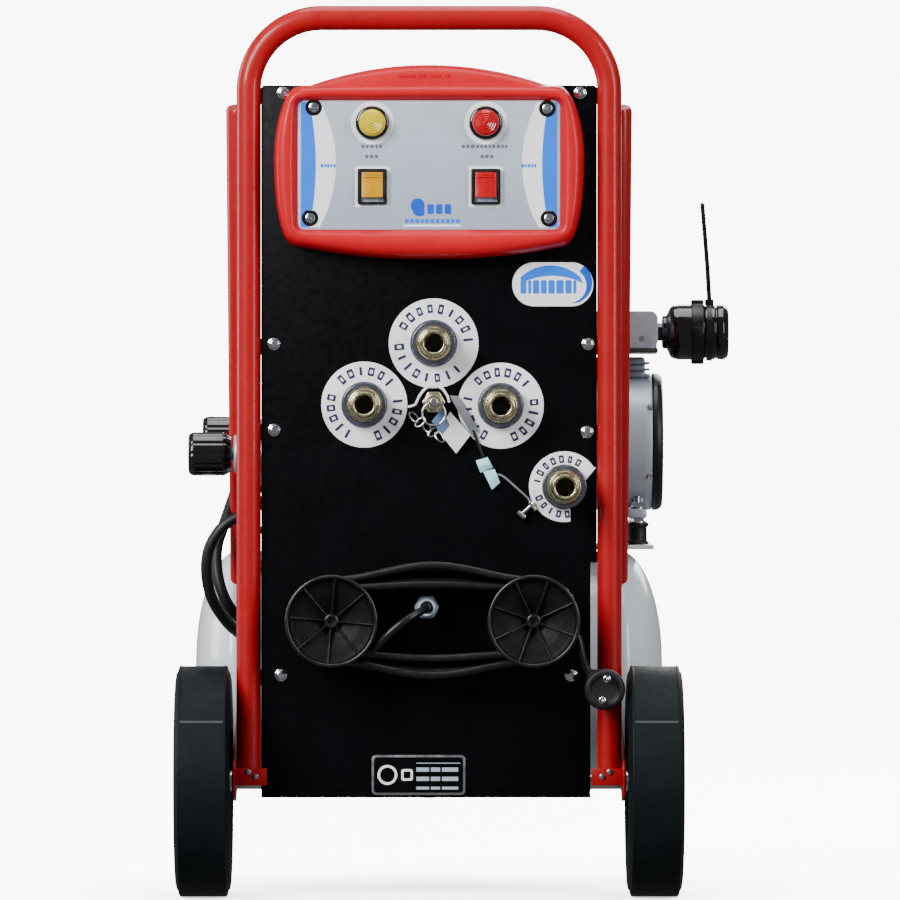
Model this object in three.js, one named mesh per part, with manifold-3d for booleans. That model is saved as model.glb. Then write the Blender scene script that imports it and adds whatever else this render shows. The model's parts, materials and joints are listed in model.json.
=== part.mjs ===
// A wheeled oil-free air compressor: a red tube hoop carries a black panel with the controls and four
// quick couplers, and behind it lies a horizontal tank with a twin pump on top. Millimetres, +Z up.
// X = 0 is the panel's middle, Y = 0 its sheet with +Y to the back, and Z = 0 the floor; the group's
// origin is then moved to the floor point under the middle of the whole machine.

import * as THREE from "three";
import { mergeVertices } from "three/addons/utils/BufferGeometryUtils.js";
import Module from "manifold-3d";

const wasm = await Module();
wasm.setup();

// ---- Driving dimensions ----
const CENTRE = [23.1, 118.25, 0]; // the floor point under the middle of the whole machine: the origin
const FIT = 0.3; // gap between two parts that touch
const TUBE = { radius: 10.65, sides: 12 };
const HOOP = { x: 156, top: 760.35, foot: 106.5, bend: 63 };
const PANEL = { half: 144.6, bottom: 86, top: 702, back: 1, front: -1, notch: 5, notchTop: 290 };
const TABS = { inner: 118, heights: [695, 478, 404, 192], thickness: 3 };
const STAY = { top: [165.5, 20, 684], foot: [164.5, 160, 256] }; // [X, Y, Z] of the two ends
const TANK = { y: 218, z: 192, radius: 104.5, half: 207, dome: 36, wall: 2.5 };
const STAND = { x: 206, y: 285, z: 92, bend: 33, foot: 10 };
const WHEEL = { x: 195.3, y: 14, z: 100, bore: 6.6 };
const AXLE = { radius: 6, half: 217.3 };
const PUMP = { x: 72.7, y: 218, z: 393, reach: 96.3, drum: 61, foot: 111.5 };
// reach: from the pump's middle to each piston's line; foot: from there to each pair of rubber mounts
const PLATE = { bottom: 298, top: 302, x0: -53.3, x1: 198.7, y0: 170, y1: 266, saddle: 83 };
const CRANK = { throw: 5, disc: 8, ring: 18.6 };
const MOUNT_SPREAD = 36; // from the pump's middle to the rubber mounts, along Y
const HEAD = { bottom: 472.6, top: 508.6, half: 33.4, depth: 39 };
const MOUNT = { bottom: PLATE.top + FIT, top: 325 };
const FILTER = { x0: 206.5, x1: 265.8, z: 490.4, radius: 24.6, band: [232.5, 244.2] };
const FACE_PLATE = { half: 113.5, bottom: 576.5, top: 688.5, front: -20, back: -17.5 };
const LAMP = { x: 49, z: 669, bezel: 14.5, body: 8 };
const ROCKER = { x: 49, y: -17, z: 614, tilt: 12, width: 18.6 };
const COUPLERS = { top: [4, 479], left: [-56, 426], right: [62, 425], low: [117, 355] }; // [X, Z]
const RELIEF = [4, 428]; // [X, Z]
const PULL_RING = 10;
const HOOKS = { left: -84, right: 90, z: 240, hub: 24.5, rim: 40, front: -60 };
const WINDING = { inner: 25.5, outer: 38.6, front: -47, back: -12, bulge: 13 };
const CORD = { radius: 3.5, sides: 8 };
const GLAND = { x: -2, z: 251, radius: 10, front: -28 };
const PLUG = { x: 151, y: -37, z: 181 };
const REGULATORS = [
  { name: "front", y: 58, z: 383, knob: [-209.6, -172] },
  { name: "rear", y: 156, z: 396.5, knob: [-199.5, -170] },
];
const OUTLET_X = -146; // where an air hose leaves its regulator
const DELIVERY_X = -81.5; // where the delivery hose comes down to the tank
const DRAIN = { x: 0, y: 158, radius: 4, bottom: 79, top: 106.5 };

// ---- Materials ----
const finish = (color, roughness, metalness = 0) =>
  new THREE.MeshStandardMaterial({ color, roughness, metalness });
const MATERIAL = {
  red: finish(0xb5141c, 0.3),
  redPlastic: finish(0xc8202a, 0.35),
  panel: finish(0x0c0d10, 0.5),
  tank: finish(0xccd6da, 0.35),
  cast: finish(0xb4b8ba, 0.5, 0.8),
  steel: finish(0xa9acb0, 0.35, 1),
  chrome: finish(0xd6d8dc, 0.12, 1),
  brass: finish(0xb99a4a, 0.3, 1),
  blackPlastic: finish(0x15171a, 0.55),
  blackGloss: finish(0x0b0c0e, 0.2),
  rubber: finish(0x131416, 0.75),
  tyre: finish(0x1c2226, 0.8),
  greyPlate: finish(0xaab2bd, 0.5),
  greyPlastic: finish(0xb9c4cf, 0.5),
  amber: finish(0xe0b010, 0.25),
  redLens: finish(0xd01420, 0.25),
};

// ---- Shapes ----
const vector = (x, y, z) => new THREE.Vector3(x, y, z);

/** A path that keeps every one of its points, so that a tube's sections fall exactly on its bends. */
class Path extends THREE.Curve {
  constructor(points) {
    super();
    this.points = points;
  }
  getUtoTmapping(u) {
    return u;
  }
  getPoint(t) {
    const place = t * (this.points.length - 1);
    const i = Math.min(Math.floor(place), this.points.length - 2);
    return new THREE.Vector3().lerpVectors(this.points[i], this.points[i + 1], place - i);
  }
}

/** The points of a broken line whose inner corners are rounded to one radius. */
function rounded(corners, radius, steps = 5) {
  const points = [corners[0]];
  for (let i = 1; i < corners.length - 1; i++) {
    const corner = corners[i];
    const back = corners[i - 1].clone().sub(corner).normalize();
    const ahead = corners[i + 1].clone().sub(corner).normalize();
    const half = back.angleTo(ahead) / 2;
    const start = corner.clone().addScaledVector(back, radius / Math.tan(half));
    const inward = back.clone().add(ahead).normalize();
    const centre = corner.clone().addScaledVector(inward, radius / Math.sin(half));
    const arm = start.sub(centre);
    const axis = back.clone().cross(ahead).normalize();
    const sweep = Math.PI - 2 * half;
    for (let k = 0; k <= steps; k++) {
      points.push(arm.clone().applyAxisAngle(axis, (-sweep * k) / steps).add(centre));
    }
  }
  points.push(corners[corners.length - 1]);
  return points;
}

/** The points of a smooth curve through a few points. */
const smooth = (points, steps) =>
  new THREE.CatmullRomCurve3(points, false, "centripetal").getSpacedPoints(steps);

/** A regular polygon as a shape, for the section of a tube. */
function polygon(radius, sides) {
  const middle = new THREE.Vector2();
  const corner = (i) => new THREE.Vector2(radius, 0).rotateAround(middle, (2 * Math.PI * i) / sides);
  return new THREE.Shape(Array.from({ length: sides }, (_, i) => corner(i)));
}

/** A round bar along points. */
function tube(points, radius, sides = TUBE.sides) {
  const extrudePath = new Path(points);
  return new THREE.ExtrudeGeometry(polygon(radius, sides), { steps: points.length - 1, extrudePath });
}

const block = ([x0, x1], [y0, y1], [z0, z1]) =>
  new THREE.BoxGeometry(x1 - x0, y1 - y0, z1 - z0).translate((x0 + x1) / 2, (y0 + y1) / 2, (z0 + z1) / 2);

/** A turned piece. Its profile is [radius, distance along the axis] pairs, a ring or ending on the axis. */
function turned(profile, axis, [x, y, z], segments = 20) {
  const points = profile.map(([radius, along]) => new THREE.Vector2(radius, along));
  if (THREE.ShapeUtils.area(points) < 0) points.reverse();
  if (points[0].x > 0) points.push(points[0].clone());
  const piece = new THREE.LatheGeometry(points, segments);
  if (axis === "x") piece.rotateZ(-Math.PI / 2);
  if (axis === "z") piece.rotateX(Math.PI / 2);
  return piece.translate(x, y, z);
}

const disc = (radius, [from, to], axis, at, segments) =>
  turned([[0, from], [radius, from], [radius, to], [0, to]], axis, at, segments);

const ring = (inner, outer, [from, to], axis, at, segments) =>
  turned([[inner, from], [outer, from], [outer, to], [inner, to]], axis, at, segments);

/** A rectangle with round corners, as a shape or as a hole of one. */
function roundedRectangle([x0, x1], [z0, z1], radius, Kind = THREE.Shape) {
  const shape = new Kind();
  const quarter = Math.PI / 2;
  shape.absarc(x1 - radius, z0 + radius, radius, -quarter, 0);
  shape.absarc(x1 - radius, z1 - radius, radius, 0, quarter);
  shape.absarc(x0 + radius, z1 - radius, radius, quarter, 2 * quarter);
  shape.absarc(x0 + radius, z0 + radius, radius, 2 * quarter, 3 * quarter);
  shape.closePath();
  return shape;
}

/** A shape drawn across the machine, in X and Z, made as thick as the range of Y. */
const upright = (shape, [y0, y1], curveSegments = 3) =>
  new THREE.ExtrudeGeometry(shape, { depth: y1 - y0, bevelEnabled: false, curveSegments })
    .rotateX(Math.PI / 2)
    .translate(0, y1, 0);

/** A shape drawn from the side, in Y and Z, made as thick as the range of X. */
const sideways = (points, [x0, x1]) =>
  new THREE.ExtrudeGeometry(new THREE.Shape(points.map(([y, z]) => new THREE.Vector2(y, z))), {
    depth: x1 - x0,
    bevelEnabled: false,
  })
    .applyMatrix4(new THREE.Matrix4().makeBasis(vector(0, 1, 0), vector(0, 0, 1), vector(1, 0, 0)))
    .translate(x0, 0, 0);

/** A closed geometry as a solid that can be joined and cut. */
function solid(geometry) {
  const bare = geometry.clone();
  bare.deleteAttribute("normal");
  bare.deleteAttribute("uv");
  const merged = mergeVertices(bare, 1e-3);
  const corners = merged.index.array;
  const triangles = [];
  for (let i = 0; i < corners.length; i += 3) {
    const [a, b, c] = corners.slice(i, i + 3);
    if (a !== b && b !== c && c !== a) triangles.push(a, b, c);
  }
  const vertProperties = new Float32Array(merged.attributes.position.array);
  const triVerts = new Uint32Array(triangles);
  return new wasm.Manifold(new wasm.Mesh({ numProp: 3, vertProperties, triVerts }));
}

function geometryOf(manifold) {
  const { vertProperties, triVerts } = manifold.getMesh();
  const geometry = new THREE.BufferGeometry();
  geometry.setAttribute("position", new THREE.BufferAttribute(vertProperties, 3));
  geometry.setIndex(new THREE.BufferAttribute(triVerts, 1));
  geometry.computeVertexNormals();
  return geometry;
}

const join = (...pieces) => geometryOf(pieces.map(solid).reduce((a, b) => a.add(b)));
const cut = (piece, ...tools) => geometryOf(tools.map(solid).reduce((a, b) => a.subtract(b), solid(piece)));

const machine = new THREE.Group();
machine.position.set(-CENTRE[0], -CENTRE[1], -CENTRE[2]);

/** Names a piece and puts it in the machine. */
function add(name, geometry, material) {
  const mesh = new THREE.Mesh(geometryOf(solid(geometry)), material);
  mesh.name = name;
  machine.add(mesh);
}

const SIDES = [["left", -1], ["right", 1]];
const span = (sign, from, to) => [Math.min(sign * from, sign * to), Math.max(sign * from, sign * to)];

/** The room that the tank needs, for the pieces that are shaped to sit against it. */
const tankRoom = () => disc(TANK.radius + 0.6, [-230, 230], "x", [0, TANK.y, TANK.z], 72);

// ---- Frame ----
function addFrame() {
  const corners = [[-HOOP.x, HOOP.foot], [-HOOP.x, HOOP.top], [HOOP.x, HOOP.top], [HOOP.x, HOOP.foot]];
  const hoop = rounded(corners.map(([x, z]) => vector(x, 0, z)), HOOP.bend, 6);
  const tabDepth = [PANEL.back + FIT, PANEL.back + FIT + TABS.thickness];
  const tabs = SIDES.flatMap(([, sign]) =>
    TABS.heights.map((z) => block(span(sign, TABS.inner, HOOP.x - 5), tabDepth, [z - 9, z + 5])),
  );
  add("front_hoop", join(tube(hoop, TUBE.radius), ...tabs), MATERIAL.red);

  for (const [side, sign] of SIDES) {
    const ends = [STAY.top, STAY.foot].map(([x, y, z]) => vector(sign * x, y, z));
    add("rear_stay_" + side, cut(tube(ends, TUBE.radius), tankRoom()), MATERIAL.red);

    const profile = [[-14, 88], [26, 82], [60, 90], [140, 112], [140, 150], [60, 136], [-11, 116], [-14, 112]];
    const cheek = sideways(profile, span(sign, 167, 169.6));
    const front = block(span(sign, 140, 168.6), [-14, -11.3], [97, 112]);
    const axleHole = disc(AXLE.radius + 0.35, [-180, 180], "x", [0, WHEEL.y, WHEEL.z]);
    add("axle_bracket_" + side, cut(join(cheek, front), tankRoom(), axleHole), MATERIAL.red);

    const seat = STAND.foot - FIT;
    const cup = [[0, 0], [13, 0], [14, 2], [14, 8], [13, 30], [11.4, 30], [11.4, seat], [0, seat]];
    add("rear_foot_" + side, turned(cup, "z", [sign * STAND.x, STAND.y, 0], 16), MATERIAL.rubber);
  }

  const stand = [[-STAND.x, STAND.foot], [-STAND.x, STAND.z], [STAND.x, STAND.z], [STAND.x, STAND.foot]];
  const path = rounded(stand.map(([x, z]) => vector(x, STAND.y, z)), STAND.bend, 4);
  const rests = SIDES.map(([, sign]) =>
    block(span(sign, 84, 116), [STAND.y - 9, STAND.y + 9], [STAND.z + 6, STAND.z + 32]),
  );
  add("rear_stand", cut(join(tube(path, TUBE.radius), ...rests), tankRoom()), MATERIAL.red);

  const shaft = [[0, -AXLE.half], [AXLE.radius, -AXLE.half], [AXLE.radius, AXLE.half], [0, AXLE.half]];
  add("axle", turned(shaft, "x", [0, WHEEL.y, WHEEL.z], 24), MATERIAL.steel);
}

// ---- Wheels ----
function addWheels() {
  const tyre = [[66, -20], [80, -24.3], [92, -23.6], [97, -21.5], [100, -18]];
  const rim = [[WHEEL.bore, -20], [17, -20], [19, -7], [54, -7], [57, -18], [65.2, -18]];
  const mirrored = (half) => [...half, ...half.map(([r, x]) => [r, -x]).reverse()];
  for (const [side, sign] of SIDES) {
    const at = [sign * WHEEL.x, WHEEL.y, WHEEL.z];
    add("tyre_" + side, turned(mirrored(tyre), "x", at, 36), MATERIAL.tyre);
    add("rim_" + side, turned(mirrored(rim), "x", at, 20), MATERIAL.blackPlastic);
  }
}

// ---- Tank and drain ----
function addTank() {
  const { half, dome, radius, wall } = TANK;
  const shell = (inset, steps) => {
    const points = [];
    for (let i = 0; i <= steps; i++) {
      const angle = (i * Math.PI) / (2 * steps);
      const along = half - dome + (dome - inset) * Math.cos(angle);
      points.push([(radius - inset) * Math.sin(angle), along]);
    }
    const back = points.map(([r, x]) => [r, -x]).reverse();
    return turned([...points, ...back], "x", [0, TANK.y, TANK.z], 36);
  };
  const drainPort = disc(DRAIN.radius + 1, [95, 125], "z", [DRAIN.x, DRAIN.y, 0], 12);
  const hosePort = disc(5, [285, 305], "z", [DELIVERY_X, TANK.y, 0], 12);
  add("tank", cut(shell(0, 5), shell(wall, 3), drainPort, hosePort), MATERIAL.tank);

  const { x, y, bottom, top } = DRAIN;
  const shoulder = top - 9;
  const cock = [
    [0, bottom], [5, bottom], [6, bottom + 6], [8, bottom + 9], [8, shoulder], [DRAIN.radius, shoulder],
    [DRAIN.radius, top + 6], [0, top + 6],
  ];
  const wing = block([x - 12, x + 12], [y - 2, y + 2], [bottom + 1, bottom + 9]);
  add("drain_cock", join(turned(cock, "z", [x, y, 0], 12), wing), MATERIAL.brass);
}

// ---- Pump ----
function addPump() {
  const { x: middleX, y, z, reach, drum } = PUMP;
  const plateDepth = [PLATE.y0, PLATE.y1];
  const saddles = [middleX - PLATE.saddle, middleX + PLATE.saddle].map((x) =>
    block([x - 2, x + 2], plateDepth, [PLATE.bottom - 20, PLATE.bottom + 1]),
  );
  const plate = block([PLATE.x0, PLATE.x1], plateDepth, [PLATE.bottom, PLATE.top]);
  add("pump_plate", cut(join(plate, ...saddles), tankRoom()), MATERIAL.tank);

  const middle = [middleX, y, z];
  const end = reach - 34.5;
  const housing = [
    [48, -end], [56, -end], [56, end], [48, end], [48, 34], [31.5, 34], [31.5, -34], [48, -34],
  ];
  add("motor_housing", turned(housing, "x", middle, 24), MATERIAL.cast);

  const fan = (sign) => {
    const hub = disc(13, span(sign, reach + 14, reach + 29), "x", middle, 12);
    const blades = [0, 1, 2].map((i) => {
      const blade = block(span(sign, reach + 18, reach + 26), [-46, 46], [-1.6, 1.6]);
      return blade.rotateX((i * Math.PI) / 3).translate(...middle);
    });
    return join(hub, ...blades);
  };
  const eccentric = (sign) =>
    disc(CRANK.disc, span(sign, reach - 8, reach + 8), "x", [middleX, y + sign * CRANK.throw, z], 16);
  const tip = reach + 28;
  const core = [[0, -tip], [5, -tip], [5, -33], [30, -33], [30, 33], [5, 33], [5, tip], [0, tip]];
  const shaft = turned(core, "x", middle, 16);
  add("rotor_shaft", join(shaft, ...[-1, 1].flatMap((sign) => [fan(sign), eccentric(sign)])), MATERIAL.steel);

  for (const [side, sign] of SIDES) {
    const x = middleX + sign * reach;
    const tub = disc(drum, span(sign, reach - 30.5, reach + 38), "x", middle, 28);
    const barrel = block([x - 28, x + 28], [y - 32, y + 32], [z + 36, HEAD.bottom - FIT]);
    const footRange = span(sign, PUMP.foot - 8.5, PUMP.foot + 8.5).map((d) => d + middleX);
    const foot = block(footRange, [y - 46, y + 46], [MOUNT.top + FIT, z - drum + 5]);
    const hollow = disc(drum - 7.5, span(sign, reach - 26.5, reach + 46), "x", middle, 24);
    const bore = disc(23.2, [z, HEAD.bottom + 5], "z", [x, y, 0], 20);
    const shaftHole = disc(12, span(sign, 46, 84), "x", middle, 16);
    add("crankcase_" + side, cut(join(tub, barrel, foot), hollow, bore, shaftHole), MATERIAL.cast);

    const crown = disc(22.4, [HEAD.bottom - 22, HEAD.bottom - 12], "z", [x, y, 0], 20);
    const rod = block([x - 4, x + 4], [y - 7, y + 7], [z + CRANK.ring + 0.9, HEAD.bottom - 20]);
    const bigEnd = ring(CRANK.ring, CRANK.ring + 4.4, [-5, 5], "x", [x, y, z], 16);
    add("piston_" + side, join(crown, rod, bigEnd), MATERIAL.cast);

    const cover = roundedRectangle([x - HEAD.half, x + HEAD.half], [HEAD.bottom, HEAD.top], 6);
    add("head_" + side, upright(cover, [y - HEAD.depth, y + HEAD.depth]), MATERIAL.cast);

    for (const [place, across] of [["front", -1], ["rear", 1]]) {
      const { bottom, top } = MOUNT;
      const profile = [[0, bottom], [10, bottom], [8, (bottom + top) / 2], [10, top], [0, top]];
      const spot = [middleX + sign * PUMP.foot, y + across * MOUNT_SPREAD, 0];
      add(`rubber_mount_${side}_${place}`, turned(profile, "z", spot, 12), MATERIAL.rubber);
    }
  }

  const { x0, x1, radius } = FILTER;
  const axis = [0, y, FILTER.z];
  const can = [[0, x0], [radius - 6, x0], [radius, x0 + 7], [radius, x1], [0, x1]];
  const spigot = disc(8, [middleX + reach + HEAD.half + 0.4, x0 + 2], "x", axis, 12);
  const band = disc(radius + 1.7, FILTER.band, "x", axis, 20);
  add("intake_filter", join(turned(can, "x", axis, 20), spigot, band), MATERIAL.blackGloss);
}

// ---- Air lines behind the panel ----
function addAirLines() {
  const box = block([-150, -98], [PUMP.y - 30, PUMP.y + 30], [311, 376]);
  const neck = disc(9, [TANK.z + TANK.radius + 0.5, 313], "z", [-124, TANK.y, 0], 16);
  add("pressure_switch", join(box, neck), MATERIAL.blackPlastic);

  const headX = PUMP.x - PUMP.reach - HEAD.half;
  const line = [[headX - FIT, 492], [DELIVERY_X, 492], [DELIVERY_X, 288]];
  const delivery = rounded(line.map(([x, z]) => vector(x, PUMP.y, z)), 20, 4);
  add("delivery_hose", tube(delivery, 4.6, 10), MATERIAL.steel);

  const bonnets = REGULATORS.map(({ y, z, knob }) => {
    const inner = knob[1];
    const profile = [
      [0, inner - 15], [5.6, inner - 15], [5.6, inner + 2], [17, inner + 2], [17, -126], [0, -126],
    ];
    return turned(profile, "x", [0, y, z], 14);
  });
  const body = block([-138, -106], [38, 176], [364, 412]);
  const strut = block([-134, -110], [PANEL.back + FIT, 40], [368, 390]);
  const outlets = REGULATORS.map(({ y, z }) => disc(7, [z - 34, z - 12], "z", [OUTLET_X, y, 0], 12));
  add("regulator_block", join(body, strut, ...bonnets, ...outlets), MATERIAL.cast);

  for (const { name, y, z, knob } of REGULATORS) {
    const [left, right] = knob;
    const bore = right - 18;
    const profile = [
      [0, left], [17, left], [19, left + 3], [19, right - 5], [15, right], [6.4, right], [6.4, bore],
      [0, bore],
    ];
    add("knob_" + name, turned(profile, "x", [0, y, z], 18), MATERIAL.blackPlastic);
  }

  const { y, z } = REGULATORS[0];
  const route = [
    vector(OUTLET_X, y, z - 37.2), vector(-146.8, y, z - 42), vector(-157, y, z - 50), vector(-178, y, z - 62),
    vector(-191, y + 1, z - 81), vector(-194, y + 5, z - 103), vector(-189, y + 14, z - 127),
    vector(-175, y + 32, z - 149), vector(-156, y + 56, z - 165),
  ];
  add("air_hose", tube(smooth(route, 12), 5, 8), MATERIAL.rubber);
}

// ---- Panel and controls ----
function addPanel() {
  const { half, bottom, top, notch, notchTop, front, back } = PANEL;
  const outline = new THREE.Shape();
  outline.moveTo(-half, bottom);
  outline.lineTo(half - notch, bottom);
  outline.lineTo(half - notch, notchTop);
  outline.lineTo(half, notchTop);
  outline.lineTo(half, top);
  outline.lineTo(-half, top);
  outline.closePath();
  const sheet = upright(outline, [front, back]);
  const lip = block([-half, half - notch], [front, 20], [bottom, bottom + 2]);
  const window = block([-96, 96], [-5, 5], [590, 676]);
  const hole = (x, z, r) => disc(r, [-5, 5], "y", [x, 0, z], 12);
  const ports = Object.values(COUPLERS).map(([x, z]) => hole(x, z, 9.8));
  const hooks = [HOOKS.left, HOOKS.right].map((x) => hole(x, HOOKS.z, 4));
  const holes = [window, ...ports, ...hooks, hole(...RELIEF, 5.5), hole(GLAND.x, GLAND.z, 6.5)];
  add("front_panel", cut(join(sheet, lip), ...holes), MATERIAL.panel);

  const bezel = new THREE.Shape();
  bezel.moveTo(-116, 702);
  bezel.bezierCurveTo(-60, 727, 60, 727, 116, 702);
  bezel.bezierCurveTo(129, 699, 134, 660, 134, 640);
  bezel.bezierCurveTo(134, 610, 130, 566, 118, 563);
  bezel.bezierCurveTo(60, 551, -60, 551, -118, 563);
  bezel.bezierCurveTo(-130, 566, -134, 610, -134, 640);
  bezel.bezierCurveTo(-134, 660, -129, 699, -116, 702);
  const rim = FACE_PLATE.half + FIT;
  const rimHeight = [FACE_PLATE.bottom - FIT, FACE_PLATE.top + FIT];
  bezel.holes.push(roundedRectangle([-rim, rim], rimHeight, 6, THREE.Path));
  add("control_bezel", upright(bezel, [-26, front - FIT], 5), MATERIAL.redPlastic);

  const face = roundedRectangle([-FACE_PLATE.half, FACE_PLATE.half], [FACE_PLATE.bottom, FACE_PLATE.top], 6);
  const frames = [-1, 1].map((sign) => {
    const x = sign * ROCKER.x;
    return block([x - 12.75, x + 12.75], [-24, FACE_PLATE.back], [ROCKER.z - 15.5, ROCKER.z + 15.5]);
  });
  const openings = [-1, 1].flatMap((sign) => {
    const x = sign * ROCKER.x;
    return [
      block([x - 9.8, x + 9.8], [-30, -10], [ROCKER.z - 13.3, ROCKER.z + 13.3]),
      disc(LAMP.body + 0.5, [-30, -10], "y", [sign * LAMP.x, 0, LAMP.z], 16),
    ];
  });
  const facePlate = upright(face, [FACE_PLATE.front, FACE_PLATE.back]);
  add("control_plate", cut(join(facePlate, ...frames), ...openings), MATERIAL.greyPlate);

  const room = block([-104, 104], [-5, 70], [582, 684]);
  const housing = block([-106, 106], [back + FIT, 72], [580, 686]);
  add("control_housing", cut(housing, room), MATERIAL.blackPlastic);

  const names = [["power", -1, MATERIAL.amber], ["compressor", 1, MATERIAL.redLens]];
  for (const [name, sign, material] of names) {
    const profile = [
      [0, -2], [LAMP.body, -2], [LAMP.body, -20.4], [LAMP.bezel, -20.4], [LAMP.bezel, -23],
      [11.5, -26], [9.5, -32], [0, -35],
    ];
    add("lamp_" + name, turned(profile, "y", [sign * LAMP.x, 0, LAMP.z], 16), material);

    const section = [[-8.5, 11.3], [-7, 0], [-8.5, -11.3], [2, -9], [6, 0], [2, 9]];
    const key = sideways(section, [-ROCKER.width / 2, ROCKER.width / 2])
      .rotateX(THREE.MathUtils.degToRad(-ROCKER.tilt))
      .translate(sign * ROCKER.x, ROCKER.y, ROCKER.z);
    add("rocker_" + name, key, material);
  }
}

// ---- Couplers and relief valve ----
function addCouplers() {
  const body = [
    [0, 30], [9, 30], [9, -2.3], [19.5, -2.3], [19.5, -8.6],
    [11.6, -8.6], [11.6, -44], [10.6, -46], [8, -46], [8, -14], [0, -14],
  ];
  const sleeve = [[12.2, -14], [14.5, -14], [14.5, -38], [13.4, -40], [12.2, -40]];
  for (const [name, [x, z]] of Object.entries(COUPLERS)) {
    add("coupler_" + name, turned(body, "y", [x, 0, z], 16), MATERIAL.brass);
    add("sleeve_" + name, turned(sleeve, "y", [x, 0, z], 16), MATERIAL.chrome);
  }

  const [x, z] = RELIEF;
  const valve = [
    [0, 20], [5, 20], [5, -1.3], [8.5, -1.3], [8.5, -8], [6.5, -8], [6.5, -22], [2.7, -22], [2.7, -12],
    [0, -12],
  ];
  add("relief_valve", turned(valve, "y", [x, 0, z], 12), MATERIAL.brass);

  const loop = new THREE.TorusGeometry(PULL_RING, 1.1, 6, 16).rotateX(Math.PI / 2);
  loop.translate(x, -30, z - PULL_RING);
  const pin = turned([[0, -15], [2, -15], [2, -28], [3.2, -28], [3.2, -32], [0, -32]], "y", [x, 0, z], 10);
  add("pull_ring", join(loop, pin), MATERIAL.chrome);
}

// ---- Cord, its hooks and its plug ----
const SPAN = HOOKS.right - HOOKS.left;

/** How far a turn of the cord, at a radius on the hooks, stands off their centre line at a place along it. */
const bow = (radius, along, bulge) => radius + bulge * Math.cos((Math.PI * along) / SPAN) ** 2;

/** The closed outline of a turn round both hooks, bowing out between them. */
function turnOutline(radius, bulge, Kind) {
  const middle = (HOOKS.left + HOOKS.right) / 2;
  const points = [];
  for (const sign of [1, -1]) {
    for (let i = 0; i < 8; i++) {
      const angle = (-sign * 90 + sign * 90 * (i / 4)) * (Math.PI / 180) * sign;
      const x = (sign > 0 ? HOOKS.right : HOOKS.left) + sign * radius * Math.cos(angle);
      points.push(new THREE.Vector2(x, HOOKS.z + sign * radius * Math.sin(angle)));
    }
    for (let i = 0; i < 8; i++) {
      const along = sign * SPAN * (0.5 - i / 8);
      points.push(new THREE.Vector2(middle + along, HOOKS.z + sign * bow(radius, along, bulge)));
    }
  }
  return new Kind(points);
}

function addCord() {
  for (const [side, sign] of SIDES) {
    const x = HOOKS[side];
    const spool = [[0, -1.3], [33, -1.3], [33, -4.6], [HOOKS.hub, -5], [HOOKS.hub, -52], [HOOKS.rim, -52.4]];
    const face = [[HOOKS.rim, HOOKS.front], [36, HOOKS.front], [36, -54.5], [0, -54.5]];
    const ribs = [0, 1, 2, 3].map((i) => {
      const rib = block([-36.5, 36.5], [-59, -54], [-1.4, 1.4]);
      return rib.rotateY((i * Math.PI) / 4).translate(x, 0, HOOKS.z);
    });
    const body = turned([...spool, ...face], "y", [x, 0, HOOKS.z], 24);
    add("cord_hook_" + side, join(body, ...ribs), MATERIAL.blackPlastic);
  }

  const stack = turnOutline(WINDING.outer, WINDING.bulge, THREE.Shape);
  stack.holes.push(turnOutline(WINDING.inner, WINDING.bulge - 4, THREE.Path));
  add("cord_winding", upright(stack, [WINDING.front, WINDING.back]), MATERIAL.rubber);

  const { radius, front } = GLAND;
  const gland = [[0, -1.3], [12, -1.3], [12, -6], [radius, -8], [radius, -20], [6, front], [0, front]];
  add("cable_gland", turned(gland, "y", [GLAND.x, 0, GLAND.z], 12), MATERIAL.greyPlastic);

  const lead = [
    vector(GLAND.x, front - 0.5, GLAND.z), vector(GLAND.x, -33, GLAND.z), vector(-5, -43, 249.3),
    vector(-13.5, -51.5, 244.6), vector(-23.5, -55.5, 238.2), vector(-33, -55.5, 230.4),
    vector(-41, -52.5, 222.4), vector(-48, -48.5, 216.2), vector(-54, -45.3, 212.9),
  ];
  add("cord_lead", cut(tube(smooth(lead, 12), CORD.radius, CORD.sides), windingRoom()), MATERIAL.rubber);

  const tail = [
    vector(129.5, -42.5, 221), vector(131.5, -42, 210), vector(134.5, -40, 201), vector(139, -38, 193),
  ];
  const tailTube = tube(smooth(tail, 6), CORD.radius, CORD.sides);
  add("cord_tail", cut(tailTube, windingRoom(), plugRoom()), MATERIAL.rubber);
  add("plug", plug(), MATERIAL.rubber);
}

/** The room that the winding takes, a little larger than the winding itself. */
function windingRoom() {
  const outline = turnOutline(WINDING.outer + FIT, WINDING.bulge, THREE.Shape);
  outline.holes.push(turnOutline(WINDING.inner - FIT, WINDING.bulge - 4, THREE.Path));
  return upright(outline, [WINDING.front - FIT, WINDING.back + FIT]);
}

function plugRoom() {
  return disc(18.4, [PLUG.y - 20, PLUG.y + 20], "y", [PLUG.x, 0, PLUG.z], 16);
}

/** A round two-pin plug seen from its pins, with its cord coming out at the side. */
function plug() {
  const { x, y, z } = PLUG;
  const shell = [[0, 16], [14, 16], [18, 11], [18, -11], [16, -14], [0, -14]];
  const pins = [-1, 1].map((sign) => {
    const profile = [[0, -12], [2.4, -12], [2.4, -32], [1.4, -33], [0, -33]];
    return turned(profile, "y", [x + sign * 2, y, z + sign * 9.3], 8);
  });
  return join(turned(shell, "y", [x, y, z], 16), ...pins);
}

addFrame();
addWheels();
addTank();
addPump();
addAirLines();
addPanel();
addCouplers();
addCord();

export default machine;
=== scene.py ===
"""The visual model of a wheeled air compressor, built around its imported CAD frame.

Lengths in the pieces below are millimetres in the machine's own axes: X = 0 is the panel's middle, Y = 0 its
sheet with +Y to the back, and Z = 0 the floor. M() turns them into the frame's metres.
"""
import json
import math
import random

import bmesh
import bpy
from mathutils import Matrix, Vector


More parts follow.
